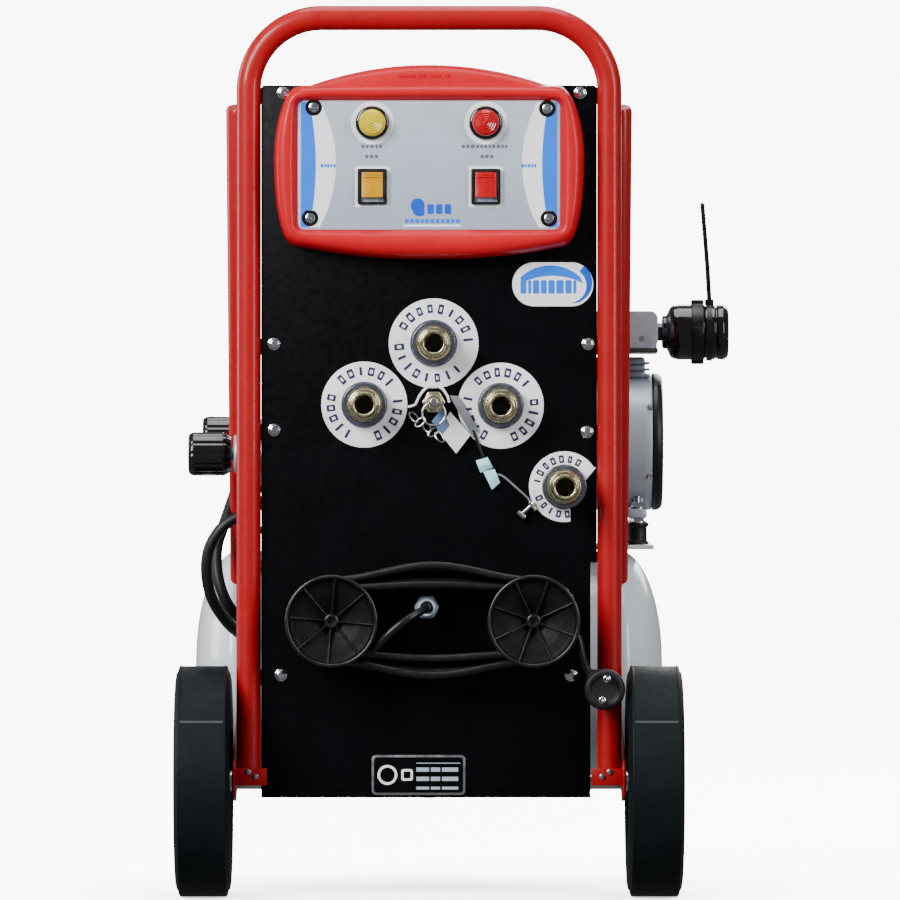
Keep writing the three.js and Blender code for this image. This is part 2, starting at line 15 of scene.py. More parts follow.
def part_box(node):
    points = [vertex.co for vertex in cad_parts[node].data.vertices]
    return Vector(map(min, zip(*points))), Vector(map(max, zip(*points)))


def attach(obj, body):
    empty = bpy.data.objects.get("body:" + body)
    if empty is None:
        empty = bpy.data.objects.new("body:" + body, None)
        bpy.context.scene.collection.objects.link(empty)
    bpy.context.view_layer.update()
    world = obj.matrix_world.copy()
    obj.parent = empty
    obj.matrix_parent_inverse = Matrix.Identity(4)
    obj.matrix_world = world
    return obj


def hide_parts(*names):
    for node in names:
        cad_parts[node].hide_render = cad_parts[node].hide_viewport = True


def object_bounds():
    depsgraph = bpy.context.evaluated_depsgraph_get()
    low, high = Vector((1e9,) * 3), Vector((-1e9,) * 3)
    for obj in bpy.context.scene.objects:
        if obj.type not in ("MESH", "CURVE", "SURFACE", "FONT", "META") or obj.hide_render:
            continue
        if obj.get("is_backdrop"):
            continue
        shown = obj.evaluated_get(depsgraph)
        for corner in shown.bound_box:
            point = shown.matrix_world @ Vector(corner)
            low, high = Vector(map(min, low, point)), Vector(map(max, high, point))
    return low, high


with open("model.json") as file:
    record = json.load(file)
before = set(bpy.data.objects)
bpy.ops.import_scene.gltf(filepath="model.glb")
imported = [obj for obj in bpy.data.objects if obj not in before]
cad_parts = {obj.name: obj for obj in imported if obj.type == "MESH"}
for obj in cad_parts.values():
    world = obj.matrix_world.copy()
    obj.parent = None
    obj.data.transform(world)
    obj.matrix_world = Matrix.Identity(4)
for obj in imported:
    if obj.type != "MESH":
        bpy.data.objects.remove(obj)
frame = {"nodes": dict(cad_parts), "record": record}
cad_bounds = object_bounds()
rng = random.Random(7)

# ---- The machine's own axes inside the frame ----
hoop_low, hoop_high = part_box("front_hoop")
ORIGIN = Vector(((hoop_low.x + hoop_high.x) / 2, (hoop_low.y + hoop_high.y) / 2, 0))


def M(x, y, z):
    """A place in the machine's own axes, in millimetres, as a place in the frame, in metres."""
    return Vector((x, y, z)) / 1000 + ORIGIN


def mm_box(node):
    """A node's lowest and highest corners in the machine's own axes, in millimetres."""
    low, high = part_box(node)
    return (low - ORIGIN) * 1000, (high - ORIGIN) * 1000


def mm_centre(node):
    """The middle of a node's box in the machine's own axes, in millimetres."""
    low, high = mm_box(node)
    return (low + high) / 2


# ---- Camera ----
VIEW_DISTANCE = 8000
VIEW_HEIGHT = 430
camera_data = bpy.data.cameras.new("camera")
camera_data.lens = 370
camera_data.sensor_width = 36
camera_data.shift_x = 0.0233
camera_data.shift_y = -0.0556
camera = bpy.data.objects.new("camera", camera_data)
bpy.context.scene.collection.objects.link(camera)
camera.location = M(0, -VIEW_DISTANCE, VIEW_HEIGHT)
camera.rotation_euler = (math.radians(90), 0, 0)
bpy.context.scene.camera = camera


# ---- Materials ----
def node(tree, kind, **settings):
    """A new node. Each setting is an input's constant, its name written with _ for a space."""
    made = tree.nodes.new("ShaderNode" + kind)
    for name, value in settings.items():
        made.inputs[name.replace("_", " ")].default_value = value
    return made


def shader(name, color, roughness, metallic=0.0):
    """A principled material and its nodes, with the constant settings on the shader's own sockets."""
    made = bpy.data.materials.new(name)
    made.use_nodes = True
    tree = made.node_tree
    principled = tree.nodes["Principled BSDF"]
    principled.inputs["Base Color"].default_value = (*color, 1)
    principled.inputs["Roughness"].default_value = roughness
    principled.inputs["Metallic"].default_value = metallic
    return made, tree, principled, node(tree, "TexCoord").outputs["Object"]


def noise_at(tree, where, scale, detail):
    """Soft noise in the object's own space."""
    texture = node(tree, "TexNoise", Scale=scale, Detail=detail)
    tree.links.new(where, texture.inputs["Vector"])
    return texture.outputs["Fac"]


def ramp(tree, factor, low, high):
    """A noise's middle values spread over a range of numbers."""
    spread = node(tree, "MapRange", From_Min=0.3, From_Max=0.7, To_Min=low, To_Max=high)
    tree.links.new(factor, spread.inputs["Value"])
    return spread.outputs["Result"]


def mix(tree, factor, dark, light):
    """A colour between two, by a factor."""
    blend = node(tree, "Mix")
    blend.data_type = "RGBA"
    blend.inputs["A"].default_value = (*dark, 1)
    blend.inputs["B"].default_value = (*light, 1)
    tree.links.new(factor, blend.inputs["Factor"])
    return blend.outputs["Result"]


def roughen(tree, principled, height, **settings):
    """Gives the shader a fine relief."""
    bumps = node(tree, "Bump", **settings)
    tree.links.new(height, bumps.inputs["Height"])
    tree.links.new(bumps.outputs["Normal"], principled.inputs["Normal"])


def surface(
    name, color, roughness, metallic=0.0, vary=0.10, patch=25, rough_vary=0.08, bump=0.1, grain=900, coat=0.0,
    specular=0.5,
):
    """A material with soft patches of colour, a gloss that varies, and a fine grain."""
    made, tree, principled, where = shader(name, color, roughness, metallic)
    dark = [c * (1 - vary) for c in color]
    light = [min(1, c * (1 + vary)) for c in color]
    patches = ramp(tree, noise_at(tree, where, patch, 5.0), 0, 1)
    tree.links.new(mix(tree, patches, dark, light), principled.inputs["Base Color"])
    low, high = max(0.02, roughness - rough_vary), min(1, roughness + rough_vary)
    gloss = ramp(tree, noise_at(tree, where, patch * 6, 3.0), low, high)
    tree.links.new(gloss, principled.inputs["Roughness"])
    roughen(tree, principled, noise_at(tree, where, grain, 3.0), Strength=bump, Distance=0.0001)
    principled.inputs["Coat Weight"].default_value = coat
    principled.inputs["Coat Roughness"].default_value = 0.08
    principled.inputs["Specular IOR Level"].default_value = specular
    return made


def lens(name, color, glow):
    """A translucent coloured plastic, a little lit from within."""
    made = surface(name, color, 0.22, vary=0.08, patch=90, bump=0.03, coat=0.2, specular=0.35)
    principled = made.node_tree.nodes["Principled BSDF"]
    principled.inputs["Transmission Weight"].default_value = 0.05
    principled.inputs["Emission Color"].default_value = (*color, 1)
    principled.inputs["Emission Strength"].default_value = glow
    return made


def braid(name):
    """Steel wire braid: two crossed sets of fine waves."""
    made, tree, principled, where = shader(name, (0.42, 0.43, 0.45), 0.35, 1.0)
    both = node(tree, "Math")
    both.operation = "MULTIPLY"
    for slot, slope in enumerate((1, -1)):
        wave = node(tree, "TexWave", Scale=260)
        mapping = node(tree, "Mapping", Rotation=(0.7 * slope, 0.7, 0))
        tree.links.new(where, mapping.inputs["Vector"])
        tree.links.new(mapping.outputs["Vector"], wave.inputs["Vector"])
        tree.links.new(wave.outputs["Fac"], both.inputs[slot])
    shade = mix(tree, both.outputs["Value"], (0.12, 0.12, 0.13), (0.62, 0.63, 0.65))
    tree.links.new(shade, principled.inputs["Base Color"])
    roughen(tree, principled, both.outputs["Value"], Distance=0.0004)
    return made


RED = (0.36, 0.003, 0.006)
MATERIALS = {
    "red_powder": surface(
        "red_powder_coat", RED, 0.40, vary=0.06, bump=0.08, grain=700, coat=0.22, specular=0.2
    ),
    "bezel_red": surface(
        "bezel_plastic", (0.52, 0.004, 0.012), 0.38, vary=0.05, bump=0.15, grain=1800, coat=0.12,
        specular=0.2,
    ),
    "panel_black": surface(
        "panel_paint", (0.0026, 0.0029, 0.0038), 0.30, vary=0.2, bump=0.05, grain=1500, specular=0.05
    ),
    "tank_grey": surface("tank_paint", (0.70, 0.77, 0.81), 0.26, vary=0.03, bump=0.15, grain=350, coat=0.3),
    "cast_aluminium": surface("cast_metal", (0.52, 0.57, 0.64), 0.42, 0.6, vary=0.08, bump=0.4, grain=1100),
    "drum_paint": surface("drum_paint", (0.50, 0.56, 0.64), 0.38, 0.25, vary=0.06, bump=0.25, grain=700),
    "dark_cast": surface("dark_cast", (0.16, 0.18, 0.22), 0.45, 0.7, vary=0.15, bump=0.5, grain=1100),
    # Chrome darkened to a blue-grey: a painted dark reflection on the couplers' rims.
    "rim_metal": surface("rim_metal", (0.20, 0.21, 0.27), 0.24, 0.9, vary=0.10, bump=0.08),
    "smoke_plastic": surface(
        "smoke_plastic", (0.20, 0.21, 0.23), 0.15, vary=0.15, patch=80, bump=0.1, coat=0.5
    ),
    "patch_blue": surface("patch_blue", (0.10, 0.17, 0.34), 0.35, vary=0.15, patch=120, bump=0.1),
    "zinc_steel": surface("zinc_plate", (0.56, 0.57, 0.60), 0.26, 1.0, vary=0.08, bump=0.1),
    "chrome": surface("nickel_plate", (0.72, 0.73, 0.76), 0.14, 1.0, vary=0.05, bump=0.04, rough_vary=0.05),
    "brass": surface(
        "brass", (0.66, 0.59, 0.37), 0.24, 1.0, vary=0.08, patch=40, bump=0.03, grain=400, rough_vary=0.05
    ),
    "black_plastic": surface(
        "grained_plastic", (0.006, 0.0065, 0.0075), 0.38, vary=0.15, bump=0.4, grain=1600, specular=0.4
    ),
    "black_gloss": surface("gloss_plastic", (0.004, 0.004, 0.005), 0.13, vary=0.1, bump=0.03, coat=0.4),
    "black_rubber": surface(
        "rubber", (0.006, 0.006, 0.007), 0.5, vary=0.2, bump=0.3, grain=1200, specular=0.35
    ),
    "cord_black": surface(
        "cord_jacket", (0.005, 0.0055, 0.0065), 0.36, vary=0.2, bump=0.15, grain=1500, specular=0.4
    ),
    "tyre": surface(
        "tyre_rubber", (0.0048, 0.0078, 0.0092), 0.56, vary=0.22, patch=40, bump=0.35, grain=900,
        specular=0.10,
    ),
    # A lighter rubber for the tyre's moulding bars: a painted highlight along the seams.
    "tyre_edge": surface("tyre_edge", (0.030, 0.036, 0.036), 0.40, vary=0.1, bump=0.2),
    # The hook plastic made darker and less glossy for the spool's dish: painted shade in the dish between the
    # ribs.
    "hook_dish": surface("hook_dish", (0.0035, 0.0038, 0.0045), 0.55, vary=0.1, bump=0.1, specular=0.12),
    "wheel_plastic": surface(
        "wheel_plastic", (0.009, 0.012, 0.014), 0.42, vary=0.1, bump=0.35, grain=1400, specular=0.35
    ),
    "face_grey": surface("face_print", (0.44, 0.51, 0.60), 0.42, 0.1, vary=0.04, bump=0.08, grain=2200),
    "gland_grey": surface("gland_nylon", (0.42, 0.50, 0.58), 0.36, vary=0.06, bump=0.2, grain=1500),
    "lens_yellow": lens("yellow_plastic", (0.60, 0.45, 0.0), 0.15),
    "lens_amber": lens("amber_plastic", (0.52, 0.25, 0.0), 0.12),
    "lens_red": lens("red_plastic", (0.42, 0.001, 0.005), 0.10),
    "white_print": surface("white_print", (0.94, 0.95, 0.98), 0.4, vary=0.03, bump=0.05),
    "navy_print": surface("navy_print", (0.020, 0.016, 0.075), 0.4, vary=0.1, bump=0.05),
    "blue_print": surface("blue_print", (0.0, 0.08, 0.62), 0.4, vary=0.08, bump=0.05),
    "sky_print": surface("sky_print", (0.0, 0.17, 0.86), 0.4, vary=0.06, bump=0.05),
    "grey_print": surface("grey_print", (0.12, 0.13, 0.16), 0.45, vary=0.1, bump=0.05),
    # A near-black metal for the disc in each coupler's bore: painted shade in the hole.
    "dark_bore": surface("dark_bore", (0.015, 0.012, 0.008), 0.5, 0.6, vary=0.2, bump=0.2),
    "pale_tape": surface("pale_tape", (0.42, 0.78, 0.95), 0.35, vary=0.12, patch=120, bump=0.1),
    "hook_plastic": surface(
        "hook_plastic", (0.006, 0.0065, 0.0075), 0.30, vary=0.15, bump=0.3, grain=1500, specular=0.5
    ),
    "gasket": surface("gasket", (0.02, 0.02, 0.022), 0.7, vary=0.2, bump=0.4),
    "braid": braid("steel_braid"),
    "floor": surface("floor_paint", (0.86, 0.86, 0.87), 0.6, vary=0.01, patch=2, bump=0.02),
}
SLOTS = {m["slot"] for m in frame["record"]["materials"]}


# ---- Mesh helpers: all in millimetres, in the machine's own axes ----
def piece(name, shape, material, body="chassis", stands_for=(), slot=None, sharp=35):
    """Turns a bmesh into a piece: smooth but for its sharp edges, painted, and riding on its body."""
    bmesh.ops.recalc_face_normals(shape, faces=shape.faces)
    for face in shape.faces:
        face.smooth = True
    limit = math.radians(sharp)
    for edge in shape.edges:
        edge.smooth = edge.calc_face_angle(math.pi) < limit
    bmesh.ops.transform(shape, matrix=Matrix.Translation(ORIGIN) @ Matrix.Scale(0.001, 4), verts=shape.verts)
    mesh = bpy.data.meshes.new(name)
    shape.to_mesh(mesh)
    shape.free()
    made = bpy.data.objects.new(name, mesh)
    bpy.context.scene.collection.objects.link(made)
    mesh.materials.append(MATERIALS[material])
    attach(made, body)
    slot or (material if material in SLOTS else "black_plastic")
    if stands_for:
        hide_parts(*([stands_for] if isinstance(stands_for, str) else stands_for))
    return made


def together(*shapes):
    """Several bmeshes as one."""
    whole = shapes[0]
    for shape in shapes[1:]:
        copies = [whole.verts.new(v.co) for v in shape.verts]
        shape.verts.index_update()
        for face in shape.faces:
            whole.faces.new([copies[v.index] for v in face.verts])
        shape.free()
    return whole


AXES = {
    "x": Matrix(((0, 0, 1), (0, 1, 0), (-1, 0, 0))),
    "y": Matrix(((1, 0, 0), (0, 0, 1), (0, -1, 0))),
    "z": Matrix.Identity(3),
}


def lathe(profile, axis, centre, steps=64, start=0.0, sweep=2 * math.pi, wave=None):
    """A turned piece.

    The profile is (radius, distance along the axis) pairs, and wave(angle, radius) may shift a radius.
    """
    shape = bmesh.new()
    turn, centre = AXES[axis], Vector(centre)
    whole = sweep > 6.28
    rings = []
    for radius, along in profile:
        count = 1 if radius < 1e-6 else (steps if whole else steps + 1)
        line = []
        for k in range(count):
            angle = start + sweep * k / steps
            r = wave(angle, radius) if wave and radius else radius
            spot = Vector((r * math.cos(angle), r * math.sin(angle), along))
            line.append(shape.verts.new(centre + turn @ spot))
        rings.append(line)
    pairs = list(zip(rings, rings[1:]))
    if profile[0][0] > 1e-6 and profile[-1][0] > 1e-6:
        pairs.append((rings[-1], rings[0]))
    for a, b in pairs:
        for k in range(steps):
            k2 = (k + 1) % steps if whole else k + 1
            corners = [a[k % len(a)], a[k2 % len(a)], b[k2 % len(b)], b[k % len(b)]]
            distinct = list(dict.fromkeys(corners))
            if len(distinct) > 2:
                shape.faces.new(distinct)
    if not whole:
        for k in (0, -1):
            ends = [ring[k] for ring in rings]
            shape.faces.new(list(dict.fromkeys(ends)))
    return shape


def rounded_profile(points, radius=0.8, steps=3):
    """A profile whose inner corners are rounded a little."""
    result = [points[0]]
    for before, corner, after in zip(points, points[1:], points[2:]):
        a, c, b = Vector(before), Vector(corner), Vector(after)
        reach = min(radius, (a - c).length * 0.45, (b - c).length * 0.45)
        start, end = c + (a - c).normalized() * reach, c + (b - c).normalized() * reach
        for k in range(steps + 1):
            t = k / steps
            result.append(tuple((1 - t) ** 2 * start + 2 * t * (1 - t) * c + t * t * end))
    result.append(points[-1])
    return result


def turned(profile, soft, axis, centre, steps=64, wave=None, arcs=3):
    """A turned piece with softened corners."""
    return lathe(rounded_profile(profile, soft, arcs), axis, centre, steps, wave=wave)


def rounded_path(corners, radius, steps=10):
    """A broken line in space whose inner corners are arcs."""
    corners = [Vector(c) for c in corners]
    points = [corners[0]]
    for before, corner, after in zip(corners, corners[1:], corners[2:]):
        back, ahead = (before - corner).normalized(), (after - corner).normalized()
        half = back.angle(ahead) / 2
        centre = corner + (back + ahead).normalized() * radius / math.sin(half)
        arm = corner + back * radius / math.tan(half) - centre
        axis = back.cross(ahead).normalized()
        for k in range(steps + 1):
            turn = Matrix.Rotation(-(math.pi - 2 * half) * k / steps, 3, axis)
            points.append(centre + turn @ arm)
    points.append(corners[-1])
    return points


def smooth_path(points, steps=8):
    """A smooth curve through a few points."""
    points = [Vector(p) for p in points]
    padded = [2 * points[0] - points[1], *points, 2 * points[-1] - points[-2]]
    result = []
    for a, b, c, d in zip(padded, padded[1:], padded[2:], padded[3:]):
        for k in range(steps):
            t = k / steps
            bend, twist = 2 * a - 5 * b + 4 * c - d, 3 * b - a - 3 * c + d
            result.append(0.5 * (2 * b + (c - a) * t + bend * t**2 + twist * t**3))
    return [*result, points[-1]]


def tube(points, radius, sides=32):
    """A round tube along points, closed at its ends; radius may be a list, one for each point."""
    shape = bmesh.new()
    points = [Vector(p) for p in points]
    radii = radius if isinstance(radius, (list, tuple)) else [radius] * len(points)
    tangent = (points[1] - points[0]).normalized()
    normal = tangent.orthogonal().normalized()
    rings = []
    for i, point in enumerate(points):
        ahead = points[min(i + 1, len(points) - 1)] - points[max(i - 1, 0)]
        new = ahead.normalized()
        normal = (tangent.rotation_difference(new) @ normal).normalized()
        tangent = new
        side = tangent.cross(normal)
        line = []
        for k in range(sides):
            angle = 2 * math.pi * k / sides
            arm = normal * math.cos(angle) + side * math.sin(angle)
            line.append(shape.verts.new(point + radii[i] * arm))
        rings.append(line)
    for a, b in zip(rings, rings[1:]):
        for k in range(sides):
            shape.faces.new([a[k], a[(k + 1) % sides], b[(k + 1) % sides], b[k]])
    shape.faces.new(rings[0][::-1])
    shape.faces.new(rings[-1])
    return shape


def soften(shape, width, segments=2, angle=40):
    """Bevels the edges of a bmesh that are sharper than an angle."""
    edges = [e for e in shape.edges if e.calc_face_angle(0) > math.radians(angle)]
    bmesh.ops.bevel(
        shape, geom=edges, offset=width, segments=segments, profile=0.5, affect="EDGES", clamp_overlap=True
    )
    return shape


def block(x, y, z, bevel=0.8, segments=2):
    """A box between two limits each way, with softened edges."""
    shape = bmesh.new()
    size = [abs(a[1] - a[0]) for a in (x, y, z)]
    middle = [(a[0] + a[1]) / 2 for a in (x, y, z)]
    bmesh.ops.create_cube(shape, size=1, matrix=Matrix.Translation(middle) @ Matrix.Diagonal((*size, 1)))
    return soften(shape, min(bevel, min(size) * 0.4), segments) if bevel else shape


def slab(outline, y, holes=(), bevel=0.5, segments=2):
    """An outline in X and Z, with holes, made into a plate between two limits of Y."""
    shape = bmesh.new()
    edges = []
    for loop in (outline, *holes):
        verts = [shape.verts.new((px, y[0], pz)) for px, pz in loop]
        edges += [shape.edges.new((a, b)) for a, b in zip(verts, verts[1:] + verts[:1])]
    bmesh.ops.triangle_fill(shape, use_beauty=True, use_dissolve=False, edges=edges)
    made = bmesh.ops.extrude_face_region(shape, geom=shape.faces[:])
    lifted = [g for g in made["geom"] if isinstance(g, bmesh.types.BMVert)]
    bmesh.ops.translate(shape, verts=lifted, vec=(0, y[1] - y[0], 0))
    bmesh.ops.recalc_face_normals(shape, faces=shape.faces)
    return soften(shape, bevel, segments) if bevel else shape


def prism(outline, x, bevel=0.5):
    """An outline in Y and Z made into a plate between two limits of X."""
    shape = slab(outline, (0, x[1] - x[0]), bevel=bevel)
    turn = Matrix(((0, 1, 0, x[0]), (1, 0, 0, 0), (0, 0, 1, 0), (0, 0, 0, 1)))
    bmesh.ops.transform(shape, matrix=turn, verts=shape.verts)
    return shape


def circle(x, z, radius, count=32):
    """A circle as an outline."""
    return arc(x, z, radius, [2 * math.pi * k / count for k in range(count)])


def arc(x, z, radius, angles):
    """The points of a circle at some angles."""
    return [(x + radius * math.cos(a), z + radius * math.sin(a)) for a in angles]


def rounded_box(x, z, radius, steps=6):
    """A rectangle with round corners, as an outline."""
    points = []
    for cx, cz, start in (
        (x[1] - radius, z[0] + radius, -90), (x[1] - radius, z[1] - radius, 0),
        (x[0] + radius, z[1] - radius, 90), (x[0] + radius, z[0] + radius, 180),
    ):
        points += arc(cx, cz, radius, [math.radians(start + 90 * k / steps) for k in range(steps + 1)])
    return points


def moved(shape, matrix):
    """A bmesh moved by a matrix."""
    bmesh.ops.transform(shape, matrix=matrix, verts=shape.verts)
    return shape


def at(x, y, z):
    """The matrix that moves a piece to a place."""
    return Matrix.Translation((x, y, z))


# ---- Cord, wound on its two hooks ----
CORD_RADIUS = 3.5
HOOK_LEFT, HOOK_RIGHT = mm_centre("cord_hook_left"), mm_centre("cord_hook_right")
SPAN = HOOK_RIGHT.x - HOOK_LEFT.x
PITCH = 2 * CORD_RADIUS
INNER_LAYER, OUTER_LAYER = 28, 35  # the cord's middle round a hook
FRONT_TURN, BACK_TURN = -43.5, -15.5
TURNS_A_LAYER = (BACK_TURN - FRONT_TURN) / PITCH
LOOP_ARC = math.pi * (INNER_LAYER + OUTER_LAYER) / 2
LOOP = 2 * (LOOP_ARC + SPAN)
START_TURN = -24 / LOOP  # the cord joins the winding 24 mm short of the left hook's bottom
TURNS = 2 * TURNS_A_LAYER + (1.5 * LOOP_ARC + SPAN) / LOOP - START_TURN


def turn_point(count, radius, bulge, depth):
    """A place on the cord's way round both hooks, count turns from the left hook's bottom, clockwise."""
    along = (count % 1) * LOOP
    if along < LOOP_ARC or LOOP_ARC + SPAN <= along < LOOP - SPAN:
        left = along < LOOP_ARC
        hook = HOOK_LEFT if left else HOOK_RIGHT
        sweep = along if left else along - LOOP_ARC - SPAN
        angle = (-math.pi / 2 if left else math.pi / 2) - math.pi * sweep / LOOP_ARC
        return Vector((hook.x + radius * math.cos(angle), depth, hook.z + radius * math.sin(angle)))
    top = along < LOOP_ARC + SPAN
    part = (along - LOOP_ARC) / SPAN if top else (along - 2 * LOOP_ARC - SPAN) / SPAN
    stand_off = radius + bulge * math.sin(math.pi * part) ** 2
    if top:
        return Vector((HOOK_LEFT.x + part * SPAN, depth, HOOK_LEFT.z + stand_off))
    return Vector((HOOK_RIGHT.x - part * SPAN, depth, HOOK_RIGHT.z - stand_off))


def winding():
    """Two layers: the inner one runs to the panel and the outer one comes back."""
    points = []
    samples = 44
    rest = TURNS - 2 * TURNS_A_LAYER
    for k in range(round(TURNS * samples) + 1):
        turn = k / samples
        back = min(max(turn - TURNS_A_LAYER - rest, 0), TURNS_A_LAYER)
        inward = min(turn, TURNS_A_LAYER)
        lift = min(max((turn - TURNS_A_LAYER) / 0.4, 0), 1)
        lift = lift * lift * (3 - 2 * lift)
        bulge = (3 + 1.5 * inward) * (1 - lift) + (4.4 + 2.3 * back) * lift
        radius = INNER_LAYER + (OUTER_LAYER - INNER_LAYER) * lift
        depth = FRONT_TURN + PITCH * (inward - back)
        points.append(turn_point(START_TURN + turn, radius, bulge, depth))
    return points


GLAND = mm_centre("cable_gland")
PLUG_LOW, PLUG_HIGH = mm_box("plug")
PLUG_CENTRE = (PLUG_LOW + PLUG_HIGH) / 2
lead_points = [
    (-2, -28, 251), (-2, -33, 251), (-5, -43, 249.3), (-13.5, -51.5, 244.6), (-23.5, -55.5, 238.2),
    (-33, -55.5, 230.4), (-41, -52.5, 222.4), (-48, -48.5, 216.2), (-54, -45.3, 212.9),
]
tail_points = [
    (125.4, -43.3, 234), (127, -42.9, 228), (129.5, -42.5, 221), (131.5, -42, 210), (134.5, -40, 201),
    (139, -38, 193),
]
cord_line = smooth_path(lead_points, 5) + winding() + smooth_path(tail_points, 4)
cord_length = sum((b - a).length for a, b in zip(cord_line, cord_line[1:])) / 1000

cord_curve = bpy.data.curves.new("power_cord", "CURVE")
cord_curve.dimensions = "3D"
cord_curve.bevel_depth = CORD_RADIUS / 1000
cord_curve.bevel_resolution = 5
cord_curve.use_fill_caps = True
spline = cord_curve.splines.new("POLY")
spline.points.add(len(cord_line) - 1)
for spot, place in zip(spline.points, cord_line):
    spot.co = (*M(*place), 1)
spline.use_smooth = True
cord_curve.materials.append(MATERIALS["cord_black"])
power_cord = bpy.data.objects.new("power_cord", cord_curve)
bpy.context.scene.collection.objects.link(power_cord)
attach(power_cord, "chassis")
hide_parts("cord_winding", "cord_lead", "cord_tail")


# ---- Plug: a round two-pin plug, with its cord in at the upper left ----
plug_x, plug_y, plug_z = PLUG_CENTRE.x, PLUG_HIGH.y - 16, PLUG_CENTRE.z
body = [
    (0, 16), (13.5, 16), (17.5, 11), (17.6, 3), (16.6, 2), (16.6, -2), (17.6, -3), (17.8, -11), (15.8, -14),
    (12.5, -14), (11.5, -11.5), (0, -11.5),
]
body = turned(body, 1.2, "y", (plug_x, plug_y, plug_z), 56)
entry = Vector((139, plug_y - 1, 193))
inward = (Vector((plug_x, plug_y, plug_z)) - entry).normalized()
sleeve = tube([entry - inward * 2, entry + inward * 3, entry + inward * 9], [4.6, 5.6, 7.5], 24)
plug = piece("mains_plug", together(body, sleeve), "black_rubber", stands_for="plug")
pin = [(0, -10), (3.4, -10), (3.4, -13.2), (2.3, -13.6), (2.3, -31), (1.2, -32.8), (0, -33)]
pins = [turned(pin, 0.6, "y", (plug_x + s * 2, plug_y, plug_z + s * 9.3), 24) for s in (-1, 1)]
plug_pins = piece("plug_pins", together(*pins), "chrome")


# ---- Tube frame ----
SIDES = (("left", -1), ("right", 1))
TUBE = 10.65
HOOP_X, HOOP_TOP, HOOP_FOOT, HOOP_BEND = 156, 760.35, 106.5, 63


def side_range(sign, a, b):
    """Two distances from the middle as limits of X on one side."""
    return (min(sign * a, sign * b), max(sign * a, sign * b))


def bead(centre, axis, radius, thick=1.6):
    """A weld bead: a ring with small ripples."""
    section = arc(radius, 0, thick, [k * math.pi / 4 for k in range(8)])
    ripple = lambda angle, r: r + 0.25 * math.sin(angle * 22)
    return lathe(section, axis, centre, 88, wave=ripple)


def seam(start, end, radius=1.5):
    """A straight weld bead with small ripples."""
    start, end = Vector(start), Vector(end)
    steps = max(6, int((end - start).length / 1.1))
    points = [start.lerp(end, k / steps) for k in range(steps + 1)]
    radii = [radius * (0.35 if k in (0, steps) else 0.85 + 0.2 * (k % 2)) for k in range(steps + 1)]
    return tube(points, radii, 10)


corners = [(-HOOP_X, 0, HOOP_FOOT), (-HOOP_X, 0, HOOP_TOP), (HOOP_X, 0, HOOP_TOP), (HOOP_X, 0, HOOP_FOOT)]
hoop = [tube(rounded_path(corners, HOOP_BEND, 20), TUBE, 48)]
for _, sign in SIDES:
    for z in (695, 478, 404, 192):
        hoop.append(block(side_range(sign, 118, 150), (1.3, 4.3), (z - 9, z + 5), 0.6))
        hoop.append(seam((sign * 146.3, 4.6, z - 8), (sign * 146.3, 4.6, z + 4), 1.3))
piece("hoop_tube", together(*hoop), "red_powder", stands_for="front_hoop")

for side, sign in SIDES:
    top, foot = Vector((sign * 165.5, 20, 684)), Vector((sign * 164.5, 160, 256))
    run = (top - foot).normalized()
    stay = tube([foot, foot + run * 20, top - run * 3, top], [TUBE, TUBE, TUBE, TUBE - 1.5], 40)
    saddle = seam((sign * 160.5, 10.6, 662), (sign * 161.2, 10.4, 684), 2.0)
    piece(f"stay_tube_{side}", together(stay, saddle), "red_powder", stands_for=f"rear_stay_{side}")

    cheek = [
        (-14, 88), (26, 82), (60, 90), (136, 111), (128, 124), (123, 148), (60, 136), (-11, 116), (-14, 112),
    ]
    plates = [
        prism(cheek, side_range(sign, 167, 169.6), 0.7),
        block(side_range(sign, 140, 168.6), (-14, -11.3), (97, 112), 0.9),
        seam((sign * 166.4, -10.8, 98), (sign * 166.4, -10.8, 111), 1.2),
        bead((sign * 169.2, 14, 100), "x", 9.5, 1.2),
    ]
    piece(f"bracket_plates_{side}", together(*plates), "red_powder", stands_for=f"axle_bracket_{side}")

stand_corners = [(-206, 285, 10.5), (-206, 285, 92), (206, 285, 92), (206, 285, 10.5)]
stand = [tube(rounded_path(stand_corners, 33, 14), TUBE, 40)]
for x in (-100, 100):
    saddle = [(276, 98), (294, 98), (294, 117.8), (285, 112.2), (276, 107.4)]
    stand.append(prism(saddle, (x - 16, x + 16), 0.8))
piece("stand_tube", together(*stand), "red_powder", stands_for="rear_stand")
for side, sign in SIDES:
    profile = [
        (0, 0), (12.4, 0), (13.6, 1.5), (14, 8), (13.4, 12), (13.4, 14), (14, 15), (13.2, 30), (11.4, 30),
        (11.2, 12), (0, 12),
    ]
    foot = turned(profile, 0.7, "z", (sign * 206, 285, 0), 40)
    piece(f"foot_cap_{side}", foot, "black_rubber", stands_for=f"rear_foot_{side}")


def cross_head(place, axis, radius, height):
    """A pan-head screw with a cross recess. Its head grows against the axis."""
    dome = [(radius, 0), (radius, -height * 0.35), (radius * 0.86, -height * 0.8), (radius * 0.55, -height)]
    inner = [(radius * 0.36, -height * 1.02), (radius * 0.24, -height * 0.45), (0, -height * 0.35)]
    cross = lambda angle, r: r * (0.38 + 0.95 * abs(math.cos(2 * angle)) ** 5) if r < radius * 0.5 else r
    return lathe([(0, 0)] + dome + inner, axis, place, 40, wave=cross)


def hex_head(place, axis, flats, height, washer=0.0):
    """A hexagon bolt head or nut, perhaps on a washer. It grows along the axis."""
    shape = lathe([(0, 0), (flats / 2, 0), (flats / 2, height), (0, height)], axis, place, 6)
    soften(shape, height * 0.14, 2, 20)
    if washer:
        shape = together(shape, lathe([(0, -0.2), (washer, -0.2), (washer, 1.2), (0, 1.2)], axis, place, 40))
    return shape


